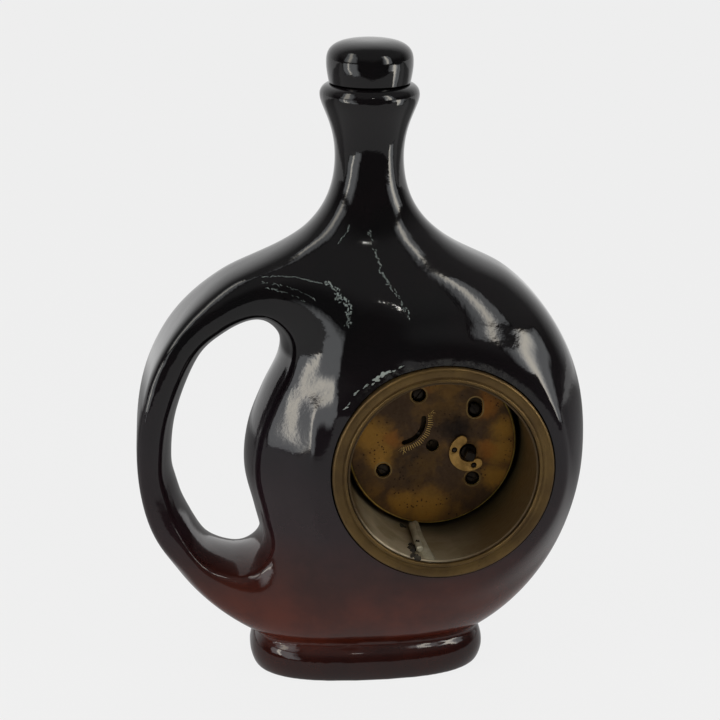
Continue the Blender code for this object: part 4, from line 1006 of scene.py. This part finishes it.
def blob(name, centre, sizes, material, seed, rough):
    """A rough lump: a sphere of points pushed about by sums of waves."""
    bm = bmesh.new()
    bmesh.ops.create_icosphere(bm, subdivisions=3, radius=1.0)
    for vert in bm.verts:
        p = vert.co.copy()
        wave = 0.0
        for k in range(1, 5):
            wave += math.sin(2.3 * k * p.x + seed * 1.7 * k) * math.sin(2.9 * k * p.y + seed * 0.9 + k) \
                * math.cos(2.1 * k * p.z + seed * 2.3) / k
        vert.co = p * (1.0 + rough * wave)
        vert.co = Vector((vert.co.x * sizes[0], vert.co.y * sizes[1], vert.co.z * sizes[2]))
    bm.transform(Matrix.Translation(centre))
    mesh = bpy.data.meshes.new(name)
    bm.to_mesh(mesh)
    bm.free()
    mesh.shade_smooth()
    mesh.materials.append(material)
    item = bpy.data.objects.new(name, mesh)
    bpy.context.scene.collection.objects.link(item)
    return item


def make_post():
    """The rod along the sleeve."""
    low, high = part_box("retaining_post")
    radius = post_radius
    centre = middle_of("retaining_post")
    profile = [(0.0, low[1])] + [(radius * math.sin(turn), low[1] + radius * (1 - math.cos(turn)))
                                 for turn in np.linspace(0.15, math.pi / 2, 7)]
    end = high[1]
    for share in np.linspace(0.1, 0.9, 9):
        y = low[1] + radius + (end - low[1] - 2 * radius) * share
        profile.append((radius * (1.0 + 0.03 * math.sin(19.0 * share)), y))
    profile += [(radius, end - radius / 2), (radius * 0.6, end), (0.0, end)]
    dress(turned("retaining_rod", profile, solder, centre, 32), "dull_tin", "retaining_post")


def make_solder():
    """The fat ridge of solder over the rod, a thin dark patch beside its tip and the charred flux at its end.
    """
    surface = surface_of(bpy.data.objects["tinned_sleeve"])
    found = [(seen_point(surface, pixel), half / 1000, high / 1000) for pixel, half, high in solder_pixels]
    points = [seen[0] for seen, _, _ in found]
    rings = []
    for i, ((point, normal), half, high) in enumerate(found):
        along = (points[min(i + 1, len(points) - 1)] - points[max(i - 1, 0)]).normalized()
        across = normal.cross(along).normalized()
        ring = []
        for k in range(ridge_points):
            angle = math.tau * k / ridge_points
            lift = high * math.sin(angle) * (1.0 + 0.12 * math.sin(3.0 * i + k))
            ring.append(tuple(point + across * (half * math.cos(angle)) + normal * lift))
        rings.append(ring)
    verts, faces = loft(rings)
    ridge = add_mesh("solder_run", verts, faces, solder, 80.0)
    apply_cuts(ridge, [], after=[("SUBSURF", {"levels": 2})])
    ridge.data.shade_smooth()
    dress(ridge, "dull_tin")
    point, normal = seen_point(surface, solder_pixels[1][0])
    ball = blob("solder_ball", point + normal * 0.0012, (0.0019, 0.0019, 0.0018), solder, 5.0, 0.05)
    dress(ball, "dull_tin")
    verts, faces = [], []
    for i, (pixel, turn_deg, long, wide, rise) in enumerate(char_pixels):
        flake(surface, verts, faces, pixel, turn_deg, long / 1000, wide / 1000, i + 2.0, rise / 1000, 18)
    verts = [(x, min(y, rear_face_y - flux_margin), z) for x, y, z in verts]
    dress(add_mesh("charred_flux", verts, faces, char, 30.0), "dark_steel")


def make_arbor():
    """The shaft through the barrel, with the square that the key turns."""
    low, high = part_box("winding_arbor")
    boss_end = high[1] - arbor_square_length
    barrel_gap_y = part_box("mainspring_barrel")[1][1] + slip_gap
    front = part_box("front_plate")[1][1] + slip_gap
    centre = at_clock(barrel_offset)
    profile = [(0.0, low[1]), (arbor_pivot_radius, low[1]), (arbor_pivot_radius, front),
               (arbor_radius, front), (arbor_radius, barrel_gap_y), (arbor_boss_radius, barrel_gap_y),
               (arbor_boss_radius, boss_end - 0.0004), (arbor_boss_radius - 0.0004, boss_end),
               (0.0, boss_end)]
    arbor = turned("squared_arbor", profile, dark_steel, centre, 48)
    half, corner = 0.0020, 0.0015
    square = ((half, -corner), (half, corner), (corner, half), (-corner, half),
              (-half, corner), (-half, -corner), (-corner, -half), (corner, -half))
    square = rotated(square, arbor_square_turn_deg)
    rings = [[(centre[0] + x * grow, y, centre[1] + z * grow) for x, z in square]
             for grow, y in ((1.0, boss_end - 0.0008), (1.0, high[1] - 0.0004), (0.82, high[1]))]
    verts, faces = loft(rings)
    apply_cuts(arbor, [add_mesh("arbor_square_cutter", verts, faces, None)], "UNION")
    smooth(arbor)
    dress(arbor, "dark_steel", "winding_arbor", body="winding_arbor")


def make_dial_side():
    """Rounded bezel, smooth glass, and plain hour bars and minute dots on the dial."""
    low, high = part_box("front_bezel")
    outer = (high[0] - low[0]) / 2
    inner, face, seat, skirt_end = sight_radius, low[1], high[1] - bezel_depth, high[1]
    skirt_low, skirt_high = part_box("case_sleeve")
    skirt_inner = (skirt_high[0] - skirt_low[0]) / 2 + slip_gap
    skirt_outer = skirt_inner + bezel_skirt_wall
    crown = bezel_crown
    profile = [(inner, seat)] + arc((inner + crown, face + crown), crown, 180.0, 270.0, 6)
    width = outer - inner
    profile += [(inner + width * share, face + 0.00018 * math.sin(math.pi * share) ** 2)
                for share in (0.25, 0.4, 0.55, 0.7)]
    profile += arc((outer - crown, face + crown), crown, 270.0, 360.0, 6)
    profile += [(outer, seat), (skirt_outer, seat), (skirt_outer, skirt_end), (skirt_inner, skirt_end),
                (skirt_inner, seat)]
    dress(turned("spun_bezel", profile, ring_brass, sharp_deg=40.0), "aged_brass", "front_bezel")

    low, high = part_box("dial_glass")
    edge_radius, thick = (high[0] - low[0]) / 2, glass_thickness
    rise = high[1] - low[1] - thick
    front = [(edge_radius * share, high[1] - thick - rise * (1.0 - share * share))
             for share in np.linspace(0, 1, 17)]
    back = [(edge_radius * share, high[1] - rise * (1.0 - share * share)) for share in np.linspace(1, 0, 17)]
    dress(turned("domed_glass", front + back, glass), "clear_glass", "dial_glass")

    dial_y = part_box("dial")[0][1]
    verts, faces = [], []
    for i in range(60):
        start, half = (0.0322, 0.00022) if i % 5 else (0.0262, 0.00045 if i % 15 else 0.00075)
        stroke(verts, faces, 6.0 * i, ((start, 0.0, half), (dial_mark_end, 0.0, half)), dial_y - 0.00012,
               dial_y + 0.00005)
    dress(add_mesh("hour_bars", verts, faces, ink), "dial_enamel")


def pixel_ray(pixel):
    focal = lens / sensor_width * picture_size
    across, down = (pixel[0] - picture_size / 2) / focal, (pixel[1] - picture_size / 2) / focal
    return (camera_right * across - camera_up * down - camera_back).normalized()


def surface_of(item):
    mesh = item.data
    return BVHTree.FromPolygons([vert.co for vert in mesh.vertices],
                                [poly.vertices for poly in mesh.polygons])


def seen_point(surface, pixel):
    """Where the camera's ray through a pixel meets the surface, and the surface's normal there."""
    ray = pixel_ray(pixel)
    point, normal, _, _ = surface.ray_cast(camera_place, ray)
    return (point, normal if normal.dot(ray) < 0.0 else -normal) if point else None


def flake(surface, verts, faces, pixel, turn_deg, long, wide, seed, rise, count):
    """A thin ragged flake that lies on the surface: a sunk rim, a raised shelf and a low top."""
    found = seen_point(surface, pixel)
    c, s = math.cos(math.radians(turn_deg)), math.sin(math.radians(turn_deg))
    near = seen_point(surface, (pixel[0] + 1.5 * c, pixel[1] + 1.5 * s))
    if found is None or near is None:
        return
    point, normal = found
    along = near[0] - point
    along = (along - normal * along.dot(normal)).normalized()
    across = normal.cross(along)
    base = len(verts)
    for grow, height in ((1.0, -0.0004), (1.0, 0.00002), (0.72, rise)):
        for k in range(count):
            angle = math.tau * k / count
            ragged = (1.0 + 0.28 * math.sin(3.0 * angle + 2.1 * seed)
                      + 0.20 * math.sin(5.0 * angle + 4.7 * seed))
            flat = along * (long / 2 * math.cos(angle)) + across * (wide / 2 * math.sin(angle))
            verts.append(tuple(point + flat * grow * ragged + normal * height))
    for row in (0, 1):
        low, high = base + row * count, base + (row + 1) * count
        faces += [(low + k, low + (k + 1) % count, high + (k + 1) % count, high + k) for k in range(count)]
    faces.append(tuple(base + k for k in reversed(range(count))))
    faces.append(tuple(base + 2 * count + k for k in range(count)))


# Flakes along the clock's upper edge: pixel, turn in the picture, length and width in mm.
chip_pixels = (
    ((356, 393), -45, 3.0, 0.7), ((366, 386), -38, 2.6, 0.7), ((377, 379), -35, 3.2, 2.0),
    ((384, 374), -30, 3.6, 1.7), ((389, 372), -20, 1.8, 1.0), ((394, 371), -15, 1.6, 0.6),
    ((401, 367), -25, 2.2, 0.7), ((346, 408), -30, 2.4, 0.6), ((349, 404), -50, 1.6, 0.4),
    ((373, 384), -40, 1.4, 0.6),
)
# Painted highlights over the shoulder, as pale broken flakes: the pixels they pass, their width in mm, how
# broken and how scattered they are.
glint_pixels = (
    ("shoulder_glint_1", ((262, 277), (280, 276), (295, 277), (311, 281), (326, 284)), 0.26, 0.22, 0.5),
    ("shoulder_glint_2", ((324, 284), (334, 287), (338, 293), (336, 297), (342, 300), (348, 304), (350, 310),
                        (346, 314), (350, 320), (346, 327)), 0.50, 0.15, 3.2),
    ("shoulder_glint_3", ((349, 225), (348, 231), (342, 238), (338, 244)), 0.34, 0.10, 0.5),
    ("shoulder_glint_4", ((369, 231), (371, 240), (375, 250), (379, 262), (381, 272), (386, 281), (392, 288),
                        (398, 296), (403, 304), (408, 313), (410, 321)), 0.34, 0.50, 1.6),
    ("shoulder_glint_5", ((262, 282), (276, 284), (290, 288), (303, 293), (316, 300)), 0.20, 0.45, 0.9),
    ("shoulder_glint_6", ((266, 287), (280, 291), (294, 296), (307, 303)), 0.18, 0.50, 0.9),
)
# The solder over the post: pixel, half width and height in mm. Then a thin dark patch beside its tip and the
# charred flux: pixel, turn in the picture, length, width and height in mm.
solder_pixels = (
    ((410, 513), 0.8, 1.0), ((411, 518), 2.0, 3.3), ((414, 527), 1.8, 3.5), ((417, 536), 2.0, 3.5),
    ((420, 545), 2.4, 3.4), ((424, 552), 2.8, 2.6), ((429, 558), 2.8, 1.2), ((432, 562), 1.7, 0.3),
)
char_pixels = (
    ((403, 526), 0, 3.2, 4.6, 0.05), ((411, 545), 60, 3.4, 2.4, 0.6), ((412, 550), 60, 4.8, 3.2, 1.3),
    ((413, 556), 80, 3.6, 2.8, 1.1), ((417, 559), 50, 3.0, 2.6, 2.2), ((416, 548), 50, 2.4, 1.8, 3.4),
)


def make_flakes(body):
    """Chips of glaze over the clock, and pale broken flakes on the shoulder that are painted highlights."""
    surface = surface_of(body)
    verts, faces = [], []
    for i, (pixel, turn_deg, long, wide) in enumerate(chip_pixels):
        flake(surface, verts, faces, pixel, turn_deg, long / 1000, wide / 1000, i + 1.0, chip_rise, 20)
    dress(add_mesh("glaze_chips", verts, faces, bare_clay, 30.0), "dark_glaze")
    for name, pixels, wide, broken, scatter in glint_pixels:
        verts, faces = [], []
        seed = 0
        for (x0, y0), (x1, y1) in zip(pixels, pixels[1:]):
            reach = math.hypot(x1 - x0, y1 - y0)
            turn_deg = math.degrees(math.atan2(y1 - y0, x1 - x0))
            steps = max(1, round(reach * (0.7 + 0.25 * scatter)))
            for k in range(steps):
                seed += 1
                chance, offset, tilt = (math.sin(rate * seed + 40.0 * wide) * scramble % 1.0
                                        for rate in (12.99, 78.23, 37.72))
                if chance < broken:
                    continue
                share = (k + 0.5) / steps
                side = scatter * (2.0 * offset - 1.0)
                pixel = (x0 + (x1 - x0) * share - (y1 - y0) / reach * side,
                         y0 + (y1 - y0) * share + (x1 - x0) / reach * side)
                size = 0.5 + 0.8 * chance
                flake(surface, verts, faces, pixel, turn_deg + (25.0 + 15.0 * scatter) * (2.0 * tilt - 1.0),
                      glint_piece_length * size, wide / 1000 * size * 0.8, seed, glint_rise, 8)
        dress(add_mesh(name, verts, faces, painted_glint, 30.0), "dark_glaze")


def finish_cad_nodes():
    """The pieces that stay as they are in the frame get their own finishes."""
    finishes = {
        plain_brass: ("front_plate", "mainspring_barrel", "third_wheel", "escape_wheel", "balance_wheel",
                      "cannon_pinion", "minute_wheel", "hour_wheel", "sight_ring"),
        # The back plate and the centre wheel take the darkened brass: painted shade, so that the slot and the
        # centre hole show black.
        shade_dark_brass: ("back_plate", "centre_wheel"),
        dark_steel: ("regulator_lever", "pillar_1", "pillar_2", "pillar_3", "pillar_4", "pallet_lever"),
        spring_steel: ("mainspring", "hairspring"),
        blued_steel: ("hour_hand", "minute_hand"),
        enamel: ("dial",),
    }
    for material, names in finishes.items():
        for name in names:
            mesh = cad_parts[name].data
            mesh.materials.clear()
            mesh.materials.append(material)


make_flakes(make_body())
make_stopper()
make_case()
make_cup()
make_plate_details()
make_keeper()
make_screws()
make_post()
make_solder()
make_arbor()
make_dial_side()
finish_cad_nodes()

camera_data = bpy.data.cameras.new("camera")
camera_data.sensor_width = sensor_width
camera_data.lens = lens
camera = bpy.data.objects.new("camera", camera_data)
bpy.context.scene.collection.objects.link(camera)
turn = Matrix((camera_right, camera_up, camera_back)).transposed().to_4x4()
camera.matrix_world = Matrix.Translation(camera_place) @ turn
bpy.context.scene.camera = camera

# Floor: pale for every ray, with its shadow kept. Reflections see a greyer table, darker close behind the
# object, pale again further back, and dark room past the table's edge on the camera's side.
pale = 0.863
table_back_y = -0.62
shade_back_y = -0.36
shade_start_y = -0.14
table_start_y = -0.03
table_edge_y = 0.50
table_share = 0.52
shade_share = 0.24
room_share = 0.05


def make_floor():
    size = 60.0
    floor = add_mesh("floor", [(-size, -size, 0), (size, -size, 0), (size, size, 0), (-size, size, 0)],
                     [(0, 1, 2, 3)], None)
    item, tree = glow_material("pale_floor")
    path = node(tree, "LightPath")
    seen = calc(tree, "MAXIMUM", path.outputs["Is Camera Ray"], path.outputs["Is Transmission Ray"])
    at = node(tree, "SeparateXYZ", {"Vector": place(tree)}).outputs["Y"]
    near = calc(tree, "MAXIMUM", span(tree, at, table_back_y, shade_back_y, 1.0, shade_share),
                span(tree, at, shade_start_y, table_start_y, shade_share, table_share))
    near = times(tree, near, span(tree, at, table_edge_y - 0.01, table_edge_y + 0.01, 1.0,
                                  room_share / table_share))
    glow = calc(tree, "MAXIMUM", seen, times(tree, path.outputs["Is Glossy Ray"], near))
    shown = calc(tree, "MAXIMUM", seen, path.outputs["Is Glossy Ray"])
    strength = times(tree, glow, 0.970)
    emission = node(tree, "Emission", {"Color": (pale, pale, pale, 1.0), "Strength": strength})
    faint = node(tree, "BsdfDiffuse", {"Color": (0.05, 0.05, 0.05, 1.0)})
    both = node(tree, "AddShader", {0: emission.outputs[0], 1: faint.outputs[0]})
    plain = node(tree, "BsdfDiffuse", {"Color": (0.75, 0.75, 0.75, 1.0)})
    chosen = node(tree, "MixShader", {0: shown, 1: plain.outputs[0], 2: both.outputs[0]})
    node(tree, "OutputMaterial", {"Surface": chosen.outputs[0]})
    floor.data.materials.append(item)


def make_world():
    """Pale behind the object for every ray, and a dark room on the camera's side for reflections."""
    world = bpy.data.worlds.new("world")
    bpy.context.scene.world = world
    world.use_nodes = True
    tree = world.node_tree
    tree.nodes.clear()
    direction = node(tree, "SeparateXYZ", {"Vector": node(tree, "TexCoord").outputs["Generated"]})
    behind = span(tree, direction.outputs["Y"], -0.80, 0.05, pale, 0.0)
    ceiling = span(tree, direction.outputs["Z"], 0.15, 0.60, 0.06, 0.22)
    around = calc(tree, "MAXIMUM", behind, ceiling)
    camera_ray = node(tree, "LightPath").outputs["Is Camera Ray"]
    strength = node(tree, "Mix", {0: camera_ray, 2: around, 3: pale}, data_type="FLOAT").outputs[0]
    background = node(tree, "Background", {"Color": (1.0, 1.0, 1.0, 1.0), "Strength": strength})
    node(tree, "OutputWorld", {"Surface": background.outputs[0]})


def make_window(name, radius, side_degs, core_degs, heights, strength, core_strength, sill=0.0,
                lean=(0.0, 0.0, 1.0)):
    """A standing strip of light round the object: dim, with a brighter core, and soft at its ends.

    Its lower edge rises by the sill over the far half of its width, and it leans to the side by so many
    degrees between two heights.
    """
    columns, rows = 24, 24
    verts = []
    for j in range(rows + 1):
        for i in range(columns + 1):
            low = heights[0] + sill * smooth_step((i / columns - 0.45) / 0.12)
            z = low + (heights[1] - low) * j / rows
            side = side_degs[0] + (side_degs[1] - side_degs[0]) * i / columns
            side = math.radians(side + lean[0] * smooth_step((z - lean[1]) / (lean[2] - lean[1])))
            verts.append((radius * math.sin(side), radius * math.cos(side), z))
    faces = [(j * (columns + 1) + i, j * (columns + 1) + i + 1, (j + 1) * (columns + 1) + i + 1,
              (j + 1) * (columns + 1) + i) for j in range(rows) for i in range(columns)]
    window = add_mesh(name, verts, faces, None)
    layer = window.data.uv_layers.new(name="strip")
    low, high = side_degs
    for loop in window.data.loops:
        row, column = divmod(loop.vertex_index, columns + 1)
        layer.data[loop.index].uv = (column / columns, row / rows)
    item, tree = glow_material(name)
    parts = node(tree, "SeparateXYZ", {"Vector": node(tree, "TexCoord").outputs["UV"]})
    across, along = parts.outputs["X"], parts.outputs["Y"]
    sides = times(tree, span(tree, across, 0.0, 2 * window_soft),
                  span(tree, across, 1.0 - window_soft, 1.0, 1.0, 0.0))
    ends = times(tree, span(tree, along, 0.0, 0.05), span(tree, along, 0.90, 1.0, 1.0, 0.0))
    edge = times(tree, sides, ends)
    core_low, core_high = ((deg - low) / (high - low) for deg in core_degs)
    middle, half = (core_low + core_high) / 2, abs(core_high - core_low) / 2
    off = calc(tree, "ABSOLUTE", calc(tree, "SUBTRACT", across, middle))
    core = span(tree, off, 0.0, half, core_strength, strength)
    power = times(tree, edge, core)
    spread = node(tree, "LightPath").outputs["Is Diffuse Ray"]
    power = times(tree, power, span(tree, spread, 0.0, 1.0, 1.0, diffuse_share, "LINEAR"))
    tint = mix(tree, span(tree, off, 0.0, half, 1.0, 0.0), (0.95, 0.98, 1.0), (1.0, 0.94, 0.82))
    emission = node(tree, "Emission", {"Color": tint, "Strength": power})
    node(tree, "OutputMaterial", {"Surface": emission.outputs[0]})
    window.data.materials.append(item)
    window.visible_camera = False


diffuse_share = 0.30
window_soft = 0.12
# Name, distance, sides and core in degrees from the rear, heights, strength, core strength, sill and lean.
windows = (
    ("window_left_low", 0.50, (27.0, 75.0), (52.0, 61.0), (0.030, 0.272), 1.9, 9.0, 0.038, (6.0, 0.06, 0.16)),
    ("window_left_high", 0.50, (36.0, 78.0), (52.0, 70.0), (0.288, 1.10), 1.5, 5.0, 0.0, (18.0, 0.50, 1.00)),
    ("window_right_low", 0.26, (-40.0, -80.0), (-50.0, -70.0), (0.185, 0.247), 1.7, 9.0, -0.080),
    ("window_right_high", 0.26, (-27.0, -54.0), (-34.0, -46.0), (0.255, 0.520), 1.6, 8.0),
    ("point_light", 0.55, (-3.2, -4.0), (-3.2, -4.0), (0.425, 0.434), 160.0, 160.0),
)
make_floor()
make_world()
for window in windows:
    make_window(*window)
bpy.context.scene.view_settings.view_transform = "Standard"
